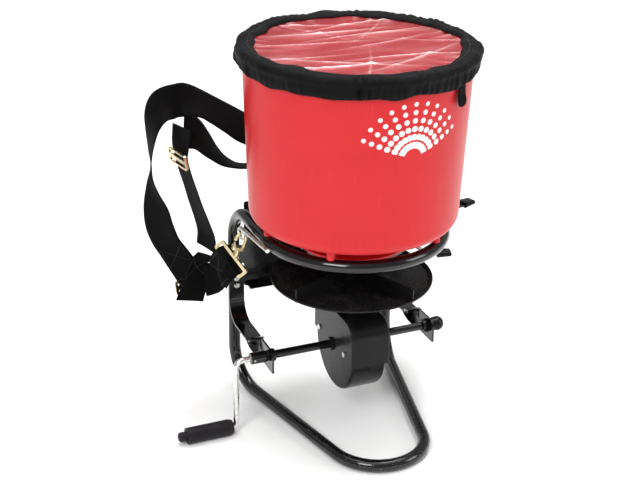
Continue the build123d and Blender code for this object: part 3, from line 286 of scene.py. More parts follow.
class Finish:
    """One procedural material. `node` adds any node; the shader's constants are set on its own sockets."""

    def __init__(self, name, **shader):
        self.material = bpy.data.materials.new(name)
        self.material.use_nodes = True
        self.tree = self.material.node_tree
        self.shader = self.tree.nodes["Principled BSDF"]
        for key, value in shader.items():
            self.shader.inputs[key.replace("_", " ")].default_value = value

    def node(self, kind, settings=None, inputs=None, out=0):
        """Add a node of a kind: its settings first, then the values or links of its sockets."""
        made = self.tree.nodes.new(kind)
        for key, value in (settings or {}).items():
            setattr(made, key, value)
        for key, value in (inputs or {}).items():
            if isinstance(value, Value):
                self.tree.links.new(value.socket, made.inputs[key])
            else:
                made.inputs[key].default_value = value
        return Value(self, made.outputs[out])

    def place(self, scale=1.0):
        """Object coordinates in metres, times `scale` along each axis."""
        raw = self.node("ShaderNodeTexCoord", out="Object")
        if scale == 1.0:
            return raw
        size = scale if isinstance(scale, tuple) else (scale,) * 3
        return self.node("ShaderNodeMapping", {}, {"Vector": raw, "Scale": size})

    def noise(self, size, detail=3.0, scale=1.0):
        """Soft noise from 0 to 1, with lumps about `size` metres across."""
        inputs = {"Vector": self.place(scale), "Scale": 1 / size, "Detail": detail}
        return self.node("ShaderNodeTexNoise", {}, inputs)

    def mix(self, mask, first, second):
        """The first colour where the mask is 0, the second where it is 1."""
        first, second = (c if isinstance(c, Value) else (*c, 1) for c in (first, second))
        return self.node("ShaderNodeMix", {"data_type": "RGBA"}, {0: mask, 6: first, 7: second}, out=2)

    def bump(self, height, distance):
        """A Bump node from a height in 0 to 1 that stands for `distance` metres."""
        return self.node("ShaderNodeBump", {}, {"Height": height, "Distance": distance})

    def feed(self, **links):
        """Link values to the shader's sockets, and give back the material."""
        for key, value in links.items():
            self.tree.links.new(value.socket, self.shader.inputs[key.replace("_", " ")])
        return self.material


# %% [markdown]
# ## Gloss black paint
# The tubes, braces, plates and shield are powder coated: a thick black skin with a faint orange-peel ripple,
# fine dust that dulls it in patches, and pale scuffs low down where the frame is set on stone. The ripple is
# a Bump from small soft noise; the dust mostly changes roughness, so the black stays black.

# %% Black paint
def black_paint():
    """Powder coat: orange peel, dusty patches, scuffs below about 25 mm."""
    paint = Finish("black_paint", Coat_Weight=0.25, Coat_Roughness=0.06, Specular_IOR_Level=0.4)
    dust = paint.noise(0.05, 5).step(0.45, 0.75)
    speck = paint.noise(0.0025, 2).step(0.62, 0.7)
    height = paint.node("ShaderNodeSeparateXYZ", {}, {0: paint.place()}, out="Z")
    low = 1 - height.step(0.006, 0.03)
    rubbed = paint.noise(0.004, 6, scale=(1, 1, 3)).step(0.6, 0.66) * low
    scuff = (rubbed + speck * dust * 0.12).math("MINIMUM", 1)
    colour = paint.mix(scuff * 0.5, (0.003, 0.003, 0.0033), (0.2, 0.19, 0.18))
    peel = paint.bump(paint.noise(0.0016, 1), 0.00004)
    return paint.feed(Base_Color=colour, Roughness=dust * 0.12 + scuff * 0.3 + 0.12, Normal=peel)


paint_finish = black_paint()
print("paint:", len(paint_finish.node_tree.nodes), "nodes")

# %% [markdown]
# ## Zinc, steel and yellow zinc
# Fasteners and the crank arm are zinc plated: bright metal with a soft cloudy pattern and drawing lines
# along the rod. Metallic is 1 and the colour is that of the reflection. The snap hooks are the yellow kind,
# so the same recipe takes another colour.

# %% Plated metal
def plated(name, colour, dark, roughness):
    """Plated metal in a colour: cloudy crystals, fine scratches and a darker bloom in patches."""
    metal = Finish(name, Metallic=1.0)
    cloud = metal.noise(0.006, 4).step(0.35, 0.7)
    line = metal.noise(0.0012, 3, scale=(1, 1, 0.08)).step(0.45, 0.6)
    grain = metal.bump(line * 0.6 + cloud * 0.4, 0.00003)
    tone = metal.mix(cloud * 0.55 + line * 0.15, colour, dark)
    return metal.feed(Base_Color=tone, Roughness=cloud * 0.12 + line * 0.08 + roughness, Normal=grain)


zinc_finish = plated("zinc", (0.82, 0.81, 0.79), (0.58, 0.57, 0.55), 0.16)
steel_finish = plated("steel", (0.55, 0.54, 0.53), (0.35, 0.34, 0.33), 0.24)
yellow_finish = plated("yellow_zinc", (0.86, 0.72, 0.45), (0.6, 0.46, 0.22), 0.16)
print("plated finishes:", zinc_finish.name, steel_finish.name, yellow_finish.name)

# %% [markdown]
# ## Moulded plastics
# The tub is thick red polyethylene with a satin skin: light goes a little way in, so it has some subsurface
# scattering, and its face shows a very fine texture from the mould with long vertical streaks that vary the
# roughness and are painted a lighter red as soft highlights. The printed sign on its front is a plain fan of
# dots, as if salt was thrown, worked out from the angle round the tub and the height, so it sits in the
# material and needs no extra mesh.

# %% Red tub
SIGN_ANGLE, SIGN_HEIGHT = math.radians(-86), 0.4805
SIGN_R = 0.158                                   # tub's radius at the sign
RING_FIRST, RING_PITCH, SPOKE_TURN = 0.018, 0.0115, 0.235


def red_poly():
    """Satin red plastic, with a fan of white dots printed at SIGN_ANGLE round the tub."""
    tub = Finish("red_poly", Subsurface_Weight=0.06, Subsurface_Scale=0.004, Specular_IOR_Level=0.2,
                 Coat_Weight=0.03, Coat_Roughness=0.3)
    tub.shader.inputs["Subsurface Radius"].default_value = (1.0, 0.25, 0.2)
    x, y, z = (tub.node("ShaderNodeSeparateXYZ", {}, {0: tub.place()}, out=axis) for axis in "XYZ")
    round_tub = (y.math("ARCTAN2", x) - SIGN_ANGLE) * SIGN_R
    rise = z - SIGN_HEIGHT
    reach = (round_tub * round_tub + rise * rise).math("SQRT")
    turn = round_tub.math("ARCTAN2", rise)
    ring, spoke = (reach - RING_FIRST) / RING_PITCH, turn / SPOKE_TURN
    off_ring = (ring - ring.math("ROUND")) * RING_PITCH
    off_spoke = (spoke - spoke.math("ROUND")) * SPOKE_TURN * reach
    dot_size = reach * -0.028 + 0.0052
    off_dot = (off_ring * off_ring + off_spoke * off_spoke).math("SQRT") - dot_size
    dot = 1 - off_dot.step(-0.00025, 0.00025)
    fan = (1 - turn.math("ABSOLUTE").step(1.27, 1.30)) * reach.step(0.0115, 0.0125)
    fan = fan * (1 - reach.step(0.0802, 0.0812))
    outside = (x * x + y * y).step(0.0228, 0.0232)
    printed = dot * fan * outside * z.step(0.44, 0.445)
    # long vertical streaks: they vary roughness and bump, and in the colour they are painted soft highlights
    streak_and_painted_highlight = tub.noise(0.004, 5, scale=(1, 1, 0.05)).step(0.55, 0.75)
    mottle = tub.noise(0.06, 4)
    red = tub.mix(mottle, (0.52, 0.014, 0.018), (0.59, 0.021, 0.025))
    # painted highlight: the red is lightened along the vertical streaks
    red = tub.mix(streak_and_painted_highlight * 0.12, red, (0.72, 0.08, 0.08))
    skin = tub.bump(tub.noise(0.0009, 2) * 0.8 + streak_and_painted_highlight * 0.2, 0.00005)
    return tub.feed(Base_Color=tub.mix(printed, red, (0.86, 0.86, 0.85)),
                    Roughness=streak_and_painted_highlight * 0.1 + mottle * 0.08 + 0.3, Normal=skin)


tub_finish = red_poly()
print("tub:", len(tub_finish.node_tree.nodes), "nodes")

# %% [markdown]
# The black parts are glass-filled plastic with a semi-gloss skin, the bushes and gears are nylon and the grip
# is rubber. One function makes them all: flow marks from the mould, a fine skin, and dust on what faces up.

# %% Black plastic, nylon and rubber
def plastic(name, colour, pale, roughness, skin_size=0.0012, skin_depth=0.00005, dust=0.25):
    """Moulded plastic: flow marks, a fine skin, and a little pale dust on upward faces."""
    made = Finish(name, Specular_IOR_Level=0.16)
    flow = made.noise(0.03, 5, scale=(1, 1, 0.4))
    fine = made.noise(0.0018, 3).step(0.5, 0.68)
    facing = made.node("ShaderNodeNewGeometry", out="Normal")
    upward = made.node("ShaderNodeSeparateXYZ", {}, {0: facing}, out="Z").step(0.6, 1.0)
    powder = upward * fine * flow.step(0.4, 0.65) * dust
    colour = made.mix(powder + flow * 0.08, colour, pale)
    skin = made.bump(made.noise(skin_size, 2), skin_depth)
    return made.feed(Base_Color=colour, Roughness=flow * 0.12 + powder * 0.4 + roughness, Normal=skin)


black_finish = plastic("black_plastic", (0.0045, 0.0045, 0.005), (0.12, 0.115, 0.11), 0.2)
nylon_finish = plastic("nylon", (0.72, 0.69, 0.6), (0.85, 0.83, 0.76), 0.38)
gear_finish = plastic("gear_plastic", (0.74, 0.71, 0.62), (0.86, 0.84, 0.78), 0.4)
rubber_finish = plastic("grip_rubber", (0.009, 0.008, 0.010), (0.09, 0.08, 0.09), 0.36, 0.0028, 0.00035)
print("plastics:", black_finish.name, nylon_finish.name, gear_finish.name, rubber_finish.name)

# %% [markdown]
# ## Cloth
# Webbing is a thick plain weave: cords run along the strap and pass over and under the cross threads, so the
# surface has little blocks in rows. The strap's UV map is in metres, which lets the weave keep its real size
# on every piece. The cover's band is a thin nylon cloth with a much finer weave and a soft sheen.

# %% Woven finishes
def woven(name, dark, light, across, along, depth, roughness, sheen):
    """A plain weave, `across` and `along` the threads in metres, on a UV map in metres."""
    cloth = Finish(name, Sheen_Weight=sheen, Sheen_Roughness=0.5, Specular_IOR_Level=0.05)
    place = cloth.node("ShaderNodeTexCoord", out="UV")
    u, v = (cloth.node("ShaderNodeSeparateXYZ", {}, {0: place}, out=axis) for axis in "XY")
    warp, weft = ((axis * (math.pi / pitch)).math("SINE") for axis, pitch in ((u, across), (v, along)))
    over = (warp * weft) * 0.5 + 0.5
    fuzz = cloth.noise(0.0004, 3)
    wear = cloth.noise(0.045, 5).step(0.45, 0.8)
    lint = cloth.noise(0.0016, 2).step(0.68, 0.74)
    weave = cloth.bump(over * 0.8 + fuzz * 0.2, depth)
    tone = cloth.mix(over * 0.45 + wear * 0.4 + lint * 0.25, dark, light)
    return cloth.feed(Base_Color=tone, Roughness=over * 0.1 + roughness, Normal=weave)


webbing_finish = woven("webbing", (0.0012, 0.0012, 0.0013), (0.008, 0.0077, 0.0082),
                       0.0016, 0.0013, 0.0003, 0.66, 0.004)
cover_finish = woven("cover_cloth", (0.002, 0.002, 0.0022), (0.014, 0.0138, 0.015),
                     0.0006, 0.0006, 0.00008, 0.5, 0.015)
thread_finish = woven("thread", (0.012, 0.012, 0.013), (0.05, 0.05, 0.052),
                      0.0004, 0.0009, 0.0001, 0.6, 0.2)
print("cloths:", webbing_finish.name, cover_finish.name, thread_finish.name)

# %% [markdown]
# ## Soft vinyl
# The window of the cover is clear vinyl, gone a little milky where it creases. Alpha is low on the flat and
# higher along the creases, which are in the piece's own `crease` attribute, so the white lines follow the
# folds of the mesh exactly.

# %% Clear vinyl
def clear_vinyl():
    """Clear soft vinyl: milky along the creases and with a few rubbed clouds."""
    vinyl = Finish("clear_vinyl", Roughness=0.16, Specular_IOR_Level=0.5, Coat_Weight=0.4, Coat_Roughness=0.1)
    crease = vinyl.node("ShaderNodeAttribute", {"attribute_name": "crease"}, out="Fac")
    cloud = vinyl.noise(0.05, 5, scale=(0.6, 1.6, 1)).step(0.42, 0.75)
    fine = vinyl.noise(0.006, 4, scale=(0.5, 2, 1)).step(0.5, 0.7)
    milk = (crease * 0.95 + cloud * 0.16 + fine * crease * 0.5).math("MINIMUM", 1)
    tone = vinyl.mix(milk, (0.95, 0.22, 0.24), (0.97, 0.88, 0.88))
    ripple = vinyl.bump(fine * 0.5 + cloud * 0.5, 0.0004)
    return vinyl.feed(Base_Color=tone, Alpha=milk * 0.6 + 0.2, Roughness=milk * 0.3 + 0.12, Normal=ripple)


vinyl_finish = clear_vinyl()
print("vinyl:", len(vinyl_finish.node_tree.nodes), "nodes")

# %% [markdown]
# ## Dress the CAD parts
# The record names a material slot for each node, so a dictionary from slot to finish dresses them all. The
# snap hooks, their bars and the sliders share the fasteners' slot but have the yellow plating, and the wire
# eyes on the hoop are bright.

# %% Materials on the nodes
finishes = {
    "black_paint": paint_finish, "zinc": zinc_finish, "steel": steel_finish,
    "red_poly": tub_finish, "black_plastic": black_finish, "nylon": nylon_finish,
    "gear_plastic": gear_finish, "grip_rubber": rubber_finish, "webbing": webbing_finish,
    "cover_cloth": cover_finish, "clear_vinyl": vinyl_finish,
}
YELLOW = ("snap_hook", "hook_gate", "webbing_bar", "top_slider", "bottom_slider")
for subpart in frame["record"]["subparts"]:
    node = nodes[subpart["node"]]
    finish = finishes[subpart["material_slot"]]
    if subpart["node"].startswith(YELLOW):
        finish = yellow_finish
    elif subpart["node"].startswith("strap_loop"):
        finish = zinc_finish
    node.data.materials.clear()
    node.data.materials.append(finish)
print("dressed", len(frame["record"]["subparts"]), "nodes")

# %% [markdown]
# ## Surfaces from numpy
# Every new piece is a grid of points: rows along one parameter and columns along the other. `surface` turns
# such a grid into a mesh with quads, and can join its last column to its first. The UV map is in metres,
# measured along the middle row and column, which is what the woven finishes expect.

# %% Grid to mesh
def surface(name, grid, finish, slot, body, loop_columns=False, caps=False, size=None):
    """A piece from an array of points (rows, columns, 3).

    Each face is row i to i + 1 and column j to j + 1. `size` is the UV map's (along columns, along rows)."""
    rows, columns = grid.shape[:2]
    cell_rows, cell_columns = rows - 1, columns - (not loop_columns)
    i, j = np.meshgrid(np.arange(cell_rows), np.arange(cell_columns), indexing="ij")
    corners = [(i, j), (i, j + 1), (i + 1, j + 1), (i + 1, j)]
    faces = np.stack([a * columns + b % columns for a, b in corners], axis=-1).reshape(-1, 4)
    ends = []
    if caps:
        ends = [list(range(columns))[::-1], [(rows - 1) * columns + k for k in range(columns)]]
    mesh = bpy.data.meshes.new(name)
    mesh.from_pydata(grid.reshape(-1, 3).tolist(), [], faces.tolist() + ends)
    if size is None:
        size = (np.linalg.norm(np.diff(grid[rows // 2], axis=0), axis=1).sum(),
                np.linalg.norm(np.diff(grid[:, columns // 2], axis=0), axis=1).sum())
    uv = np.zeros((len(mesh.loops), 2))
    steps = np.stack([np.stack([b / cell_columns * size[0], a / cell_rows * size[1]], axis=-1)
                      for a, b in corners], axis=-2)
    uv[: faces.size] = steps.reshape(-1, 2)
    mesh.uv_layers.new(name="UVMap").data.foreach_set("uv", uv.ravel())
    mesh.shade_smooth()
    mesh.materials.append(finish)
    piece = bpy.data.objects.new(name, mesh)
    bpy.context.scene.collection.objects.link(piece)
    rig.slot(piece, slot)
    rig.ride(piece, body)
    return piece


def smooth_path(points, per_span=8):
    """Catmull-Rom through the points: each span is a cubic that leaves a point parallel to the line
    between that point's neighbours."""
    p = np.asarray(points, float)
    p = np.vstack([2 * p[0] - p[1], p, 2 * p[-1] - p[-2]])
    t = np.linspace(0, 1, per_span, endpoint=False)[:, None]
    a, b, c, d = (p[k : len(p) - 3 + k, None, :] for k in range(4))
    square, cube = 2 * a - 5 * b + 4 * c - d, 3 * b - a - 3 * c + d
    spans = 0.5 * (2 * b + (c - a) * t + square * t**2 + cube * t**3)
    return np.vstack([spans.reshape(-1, p.shape[1]), p[-2]])


def unit(vectors):
    """The vectors, each made one long."""
    return vectors / np.linalg.norm(vectors, axis=-1, keepdims=True)


print("helpers: surface, smooth_path, unit")

# %% [markdown]
# ## Harness webbing
# Two inch webbing is stiff across and limp along: it twists, but never folds sideways. So each strap is a
# flat section carried along a smooth path, and a list of facings says how the face turns on the way. The
# section is a thin rounded slab with a slight curl, and the edges are thicker, as a woven selvedge is.

# %% Straps
WEB_WIDTH, WEB_THICK, WEB_CURL = 0.050, 0.002, 0.0011
TUB_CLEAR = 0.1645


def on_tub(angle, z):
    """A place on the webbing behind the hopper, and the way its face looks."""
    a = math.radians(angle)
    return (TUB_CLEAR * math.cos(a), TUB_CLEAR * math.sin(a), z), (-math.cos(a), -math.sin(a), 0)


def strap(name, route):
    """Webbing along a route of (centre, facing): point = centre + across * width + facing * depth, where
    depth = curl plus or minus half the thickness."""
    centre = smooth_path([place for place, _ in route], 10)
    facing = smooth_path([unit(np.array(face, float)) for _, face in route], 10)
    travel = unit(np.gradient(centre, axis=0))
    facing = unit(facing - travel * (facing * travel).sum(1, keepdims=True))
    across = np.cross(travel, facing)
    side = np.linspace(-1, 1, 13)
    selvedge = 1 + 0.25 * np.exp(-(((np.abs(side) - 0.9) / 0.06) ** 2))
    swell = WEB_THICK / 2 * (1 - 0.75 * np.abs(side) ** 12) * selvedge
    curl = WEB_CURL * side**2
    width = np.concatenate([side, side[::-1]]) * WEB_WIDTH / 2
    depth = np.concatenate([curl + swell, (curl - swell)[::-1]])
    grid = centre[:, None] + across[:, None] * width[None, :, None] + facing[:, None] * depth[None, :, None]
    edges = [centre + across * share * WEB_WIDTH / 2 for share in (-1, 0, 1)]
    length = float(np.mean([np.linalg.norm(np.diff(edge, axis=0), axis=1).sum() for edge in edges]))
    piece = surface(name, grid, webbing_finish, "webbing", "frame", loop_columns=True, caps=True,
                    size=(2 * WEB_WIDTH, length))
    print(name, "length", round(length, 3), "m")
    return piece, length, (centre, facing, across)


shoulder_route = [
    ((0.171, 0.096, 0.352), (-0.89, -0.46, 0)),
    ((0.160, 0.110, 0.382), (-0.84, -0.54, 0)),
    ((0.133, 0.128, 0.408), (-0.72, -0.69, 0)),
    on_tub(58, 0.420), on_tub(76, 0.424), on_tub(94, 0.424), on_tub(110, 0.426),
    ((-0.088, 0.148, 0.426), (0.3, -0.92, 0.2)),
    ((-0.115, 0.152, 0.433), (0.26, -0.80, 0.45)),
    ((-0.135, 0.156, 0.446), (0.30, -0.74, 0.58)),
    ((-0.158, 0.158, 0.462), (0.36, -0.68, 0.62)),
    ((-0.181, 0.158, 0.477), (0.38, -0.66, 0.62)),
    ((-0.203, 0.156, 0.486), (0.26, -0.84, 0.45)),
    ((-0.219, 0.153, 0.488), (0.05, -0.97, 0.15)),
    ((-0.235, 0.151, 0.485), (-0.45, -0.85, 0.25)),
    ((-0.248, 0.151, 0.475), (-0.80, -0.48, 0.35)),
    ((-0.256, 0.152, 0.458), (-0.96, -0.20, 0.18)),
    ((-0.259, 0.154, 0.434), (-0.99, 0.02, 0.05)),
    ((-0.260, 0.156, 0.405), (-0.98, 0.20, 0)),
    ((-0.259, 0.157, 0.381), (-0.95, 0.28, 0)),
    ((-0.257, 0.157, 0.353), (-0.98, -0.10, -0.05)),
    ((-0.253, 0.157, 0.320), (-0.82, -0.56, -0.10)),
    ((-0.248, 0.161, 0.289), (-0.68, -0.72, -0.12)),
    ((-0.240, 0.161, 0.264), (-0.62, -0.74, -0.22)),
    ((-0.228, 0.161, 0.243), (-0.56, -0.78, -0.26)),
    ((-0.216, 0.161, 0.222), (-0.50, -0.82, -0.26)),
    ((-0.205, 0.161, 0.202), (-0.48, -0.84, -0.26)),
    ((-0.196, 0.161, 0.184), (-0.50, -0.82, -0.26)),
]
waist_route = [
    on_tub(52, 0.360), on_tub(66, 0.360), on_tub(80, 0.360), on_tub(94, 0.360), on_tub(108, 0.361),
    ((-0.085, 0.151, 0.363), (0.38, -0.55, 0.75)),
    ((-0.111, 0.156, 0.368), (0.50, 0.10, 0.86)),
    ((-0.133, 0.156, 0.377), (0.54, -0.02, 0.84)),
    ((-0.154, 0.154, 0.392), (0.64, -0.32, 0.69)),
    ((-0.173, 0.150, 0.413), (0.64, -0.56, 0.52)),
    ((-0.191, 0.145, 0.434), (0.49, -0.74, 0.45)),
    ((-0.204, 0.141, 0.442), (0.22, -0.94, 0.25)),
    ((-0.213, 0.139, 0.443), (0, -0.99, 0.10)),
]
drop_route = [
    ((-0.216, 0.137, 0.452), (-0.97, -0.24, 0.02)),
    ((-0.218, 0.136, 0.436), (-0.97, -0.22, 0.04)),
    ((-0.219, 0.136, 0.424), (-0.97, -0.20, 0.03)),
    ((-0.219, 0.136, 0.410), (-0.98, -0.14, -0.10)),
    ((-0.214, 0.135, 0.386), (-0.97, -0.14, -0.18)),
    ((-0.206, 0.134, 0.358), (-0.96, -0.15, -0.22)),
    ((-0.198, 0.133, 0.329), (-0.95, -0.18, -0.24)),
    ((-0.189, 0.132, 0.300), (-0.94, -0.22, -0.24)),
    ((-0.183, 0.132, 0.276), (-0.95, -0.26, -0.10)),
    ((-0.184, 0.132, 0.254), (-0.95, -0.28, 0.10)),
]
tail_route = [
    ((-0.188, 0.126, 0.247), (0.50, -0.84, -0.20)),
    ((-0.199, 0.128, 0.234), (0.44, -0.86, -0.25)),
    ((-0.205, 0.128, 0.217), (0.40, -0.90, -0.12)),
    ((-0.207, 0.128, 0.196), (0.30, -0.95, 0)),
    ((-0.215, 0.128, 0.171), (0.20, -0.98, 0)),
]
lead_route = [
    ((-0.193, 0.117, 0.207), (-0.50, -0.68, 0.53)),
    ((-0.184, 0.109, 0.212), (-0.62, -0.55, 0.50)),
    ((-0.181, 0.095, 0.224), (-0.78, -0.50, 0.30)),
    ((-0.182, 0.080, 0.240), (-0.88, -0.42, 0.12)),
]
# the lead goes round the far rod of the hook's bar and comes back under itself, where it is sewn
ROD = np.array([-0.1739, 0.0623, 0.2602])
ROD_AWAY, ROD_FACE = np.array([-0.652, 0.351, -0.672]), np.array([-0.612, -0.768, 0.192])
FOLD_R = 0.0034
for turn_degrees in (90, 50, 10, -30, -70, -90):
    t = math.radians(turn_degrees)
    outward = -ROD_AWAY * math.cos(t) + ROD_FACE * math.sin(t)
    lead_route.append((tuple(ROD + outward * FOLD_R), tuple(outward)))
lead_route += [
    ((-0.1765, 0.0725, 0.2490), (0.84, 0.54, -0.10)),
    ((-0.1785, 0.0820, 0.2385), (0.88, 0.42, -0.12)),
    ((-0.1780, 0.0960, 0.2228), (0.78, 0.50, -0.30)),
]
straps = {}
routes = {
    "shoulder": shoulder_route, "waist": waist_route, "drop": drop_route,
    "tail": tail_route, "lead": lead_route,
}
for strap_name, strap_route in routes.items():
    made, made_length, straps[strap_name] = strap(f"webbing_{strap_name}", strap_route)
    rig.replaces(made, f"strap_{strap_name}")
    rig.sheet(made, flat=(WEB_WIDTH, made_length), held="hung", rests_on=["webbing_bar_left"])

# %% [markdown]
# ## Rain cover: the gathered band
# The band is a strip of nylon cloth with elastic in its hem, sewn to the vinyl window. Elastic shortens the
# hem, so the cloth above it stands in small gathers. The profile runs from the window over the rim and down
# to the hem, then turns under; round the rim it is rippled by a sum of sines whose size grows where the
# elastic pulls. The phases come from one seeded generator, so the result is the same each run.

# %% Cover band
rng = np.random.default_rng(7)
band_low, band_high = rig.box("cover_band")
COVER_R, COVER_TOP, HEM_Z = band_high.x, band_high.z, band_low.z
AROUND = 720
angle = np.linspace(0, 2 * math.pi, AROUND, endpoint=False)


def ripple(counts):
    """The sum of sin(count * angle + phase) / sqrt(how many), with random phases: about -1 to 1."""
    counts = np.asarray(counts)
    phases = rng.uniform(0, 2 * math.pi, len(counts))
    waves = np.sin(counts[:, None] * angle[None] + phases[:, None])
    return (1 / np.sqrt(len(counts)) * waves).sum(0)


lumps, gathers = ripple([5, 7, 11, 13, 17, 23]), ripple([61, 73, 89, 97, 113])
edge = ripple([4, 6, 9, 14, 19])
patch = np.clip(0.6 + 0.6 * ripple([3, 5, 8, 12]), 0.1, 1.3)
pleats = gathers * patch


def band_profile():
    """Radius and height of the band's section at each angle: a smooth curve through ten stations."""
    one = np.ones_like(angle)
    stations = [
        (0.1455 + 0.0032 * edge, COVER_TOP - 0.0022 * one),
        (0.1500 + 0.0030 * edge, COVER_TOP + 0.0012 + 0.0006 * lumps),
        (0.1600 * one, COVER_TOP + 0.0020 + 0.0012 * lumps + 0.0005 * pleats),
        (0.1680 + 0.0006 * lumps, COVER_TOP + 0.0010 + 0.0010 * lumps + 0.0008 * pleats),
        (COVER_R + 0.0004 + 0.0010 * lumps, COVER_TOP - 0.0050 + 0.0008 * lumps),
        (COVER_R - 0.0012 + 0.0012 * pleats + 0.0008 * lumps, COVER_TOP - 0.0120 * one),
        (COVER_R - 0.0018 + 0.0020 * pleats, COVER_TOP - 0.0190 + 0.0008 * lumps),
        (COVER_R - 0.0030 + 0.0022 * pleats, HEM_Z + 0.0040 + 0.0012 * lumps),
        (COVER_R - 0.0044 + 0.0012 * pleats, HEM_Z + 0.0004 + 0.0016 * lumps + 0.0005 * pleats),
        (COVER_R - 0.0066 + 0.0004 * pleats, HEM_Z + 0.0028 + 0.0012 * lumps),
    ]
    radius, height = (np.stack(column, axis=-1) for column in zip(*stations))
    flat = np.stack([radius, height], axis=-1).transpose(1, 0, 2).reshape(len(stations), -1)
    smooth = smooth_path(flat, 4).reshape(-1, AROUND, 2)
    return smooth[..., 0], smooth[..., 1]


band_r, band_z = band_profile()
band_grid = np.stack([band_r * np.cos(angle), band_r * np.sin(angle), band_z], axis=-1)
band_length = 2 * math.pi * COVER_R
band = surface("rain_cover_band", band_grid, cover_finish, "cover_cloth", "cover", loop_columns=True,
               size=(band_length, 0.066))
thickness = band.modifiers.new("cloth", "SOLIDIFY")
thickness.thickness, thickness.offset = 0.0008, 0
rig.replaces(band, "cover_band")
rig.sheet(band, flat=(0.066, band_length), held="stretched", rests_on=["hopper"])
print("band:", band_grid.shape, "top", round(float(band_z.max()), 4))

# %% [markdown]
# ## Rain cover: the vinyl window
# Vinyl that has been folded keeps its creases: long soft ridges with a sharp top that run across the window
# and fade out. Each is written as a height that falls off with the distance from a bowed line. Near the seam
# the window also has short radial puckers. The crease attribute keeps how sharp the surface is at each point.

# %% Vinyl window
WINDOW_R = 0.1500
rows_out = np.linspace(0, 1, 90) ** 0.9
window_angle = np.linspace(0, 2 * math.pi, 480, endpoint=False)
reach, turn = np.meshgrid(rows_out, window_angle, indexing="ij")
wx, wy = reach * np.cos(turn), reach * np.sin(turn)
# each fold: direction in degrees, offset from the middle, bow, width, height in mm, where it is strongest
folds = [
    (4, -0.55, 0.18, 0.035, 3.2, -0.5), (-3, -0.38, -0.12, 0.03, 2.6, 0.35), (2, -0.2, 0.1, 0.028, 1.8, -0.7),
    (8, -0.02, 0.14, 0.035, 1.7, 0.4), (-6, 0.16, 0.05, 0.03, 1.9, -0.4), (3, 0.34, -0.1, 0.03, 2.3, 0.2),
    (-2, 0.5, 0.12, 0.035, 2.6, -0.1), (11, 0.66, -0.08, 0.03, 2.8, 0.5), (24, -0.62, 0.1, 0.03, 2.2, 0.1),
    (-28, -0.55, 0.1, 0.03, 2.4, -0.1), (38, 0.1, 0.16, 0.025, 1.2, 0.75), (-35, 0.35, 0.1, 0.025, 1.4, 0.7),
    (70, -0.1, 0.1, 0.022, 1.3, -0.75), (-62, 0.12, -0.1, 0.022, 1.3, -0.7),
    (-14, 0.72, 0.06, 0.028, 2.2, -0.4), (17, 0.25, -0.16, 0.028, 1.5, 0.65),
]
relief, crease = np.zeros_like(wx), np.zeros_like(wx)
for direction, offset, bow, fold_width, fold_height, centre_along in folds:
    d = math.radians(direction)
    along, beside = wx * math.cos(d) + wy * math.sin(d), -wx * math.sin(d) + wy * math.cos(d)
    distance = np.abs(beside - offset - bow * along**2)
    fade = np.exp(-(((along - centre_along) / 0.55) ** 2))
    relief += fold_height * fade * np.exp(-distance / fold_width)
    crease += fade * np.exp(-distance / (fold_width * 0.45)) * fold_height / 3
pucker = np.sin(window_angle * 34 + 2 * np.sin(window_angle * 5)) * (0.5 + 0.5 * np.sin(window_angle * 7 + 1))
relief += 2.2 * reach**6 * pucker[None]
crease += 0.5 * reach**8 * np.clip(pucker, 0, 1)[None]
seam = np.clip((1 - reach) / 0.08, 0, 1)
window_z = COVER_TOP - 0.0032 + 0.001 * (relief - 1.4) * (0.15 + 0.85 * seam)
window_z = window_z - 0.0014 * np.sin(math.pi * reach)
window_z = np.maximum(window_z, COVER_TOP - 0.0062)
window_grid = np.stack([wx * WINDOW_R, wy * WINDOW_R, window_z], axis=-1)
window = surface("rain_cover_window", window_grid[1:], vinyl_finish, "clear_vinyl", "cover",
                 loop_columns=True)
window.data.attributes.new("crease", "FLOAT", "POINT").data.foreach_set(
    "value", np.clip(crease[1:], 0, 1).ravel().astype(np.float32))
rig.replaces(window, "cover_panel")
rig.sheet(window, flat=(2 * WINDOW_R, 2 * WINDOW_R), held="stretched", rests_on=["hopper"])
print("window:", window_grid.shape, "relief mm", round(float(relief.min()), 2), round(float(relief.max()), 2))

# %% [markdown]
# ## Rain cover: the pull tab
# A short tongue of the same cloth hangs from the hem. It is narrow where it is sewn in, widens downwards and
# ends in a half round. Its section is a thin closed loop carried down a line that leans out a little, and
# the width follows w(s) = w0 + (w1 - w0) s^0.7, times a circle's arc over the last fifth.

# %% Cover tab
TAB_ANGLE, TAB_THICK = math.radians(-57), 0.0018
tab_low, tab_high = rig.box("cover_tab")
tab_down = np.linspace(0, 1, 48)
tab_round = np.sqrt(np.clip(1 - (np.clip(tab_down - 0.8, 0, None) / 0.2) ** 2, 0.006, 1))
tab_half = (0.0075 + 0.0050 * tab_down**0.7) * tab_round
tab_reach = 0.1652 + 0.0026 * tab_down**2 + 0.0004 * np.sin(9 * tab_down)
tab_z = tab_high.z - 0.003 + (tab_low.z - 0.0025 - tab_high.z + 0.003) * tab_down
tab_side = np.linspace(-1, 1, 13)
tab_edge = 1 + 0.2 * np.exp(-(((np.abs(tab_side) - 0.8) / 0.1) ** 2))
tab_swell = TAB_THICK / 2 * (1 - 0.8 * np.abs(tab_side) ** 10) * tab_edge
tab_across = np.concatenate([tab_side, tab_side[::-1]])
tab_depth = np.concatenate([tab_swell, -tab_swell[::-1]])
tab_out = np.array([math.cos(TAB_ANGLE), math.sin(TAB_ANGLE), 0])
tab_along = np.array([-math.sin(TAB_ANGLE), math.cos(TAB_ANGLE), 0])
tab_grid = (
    (tab_reach[:, None] + tab_depth[None])[..., None] * tab_out
    + (tab_half[:, None] * tab_across[None])[..., None] * tab_along
    + tab_z[:, None, None] * np.array([0, 0, 1.0])
)
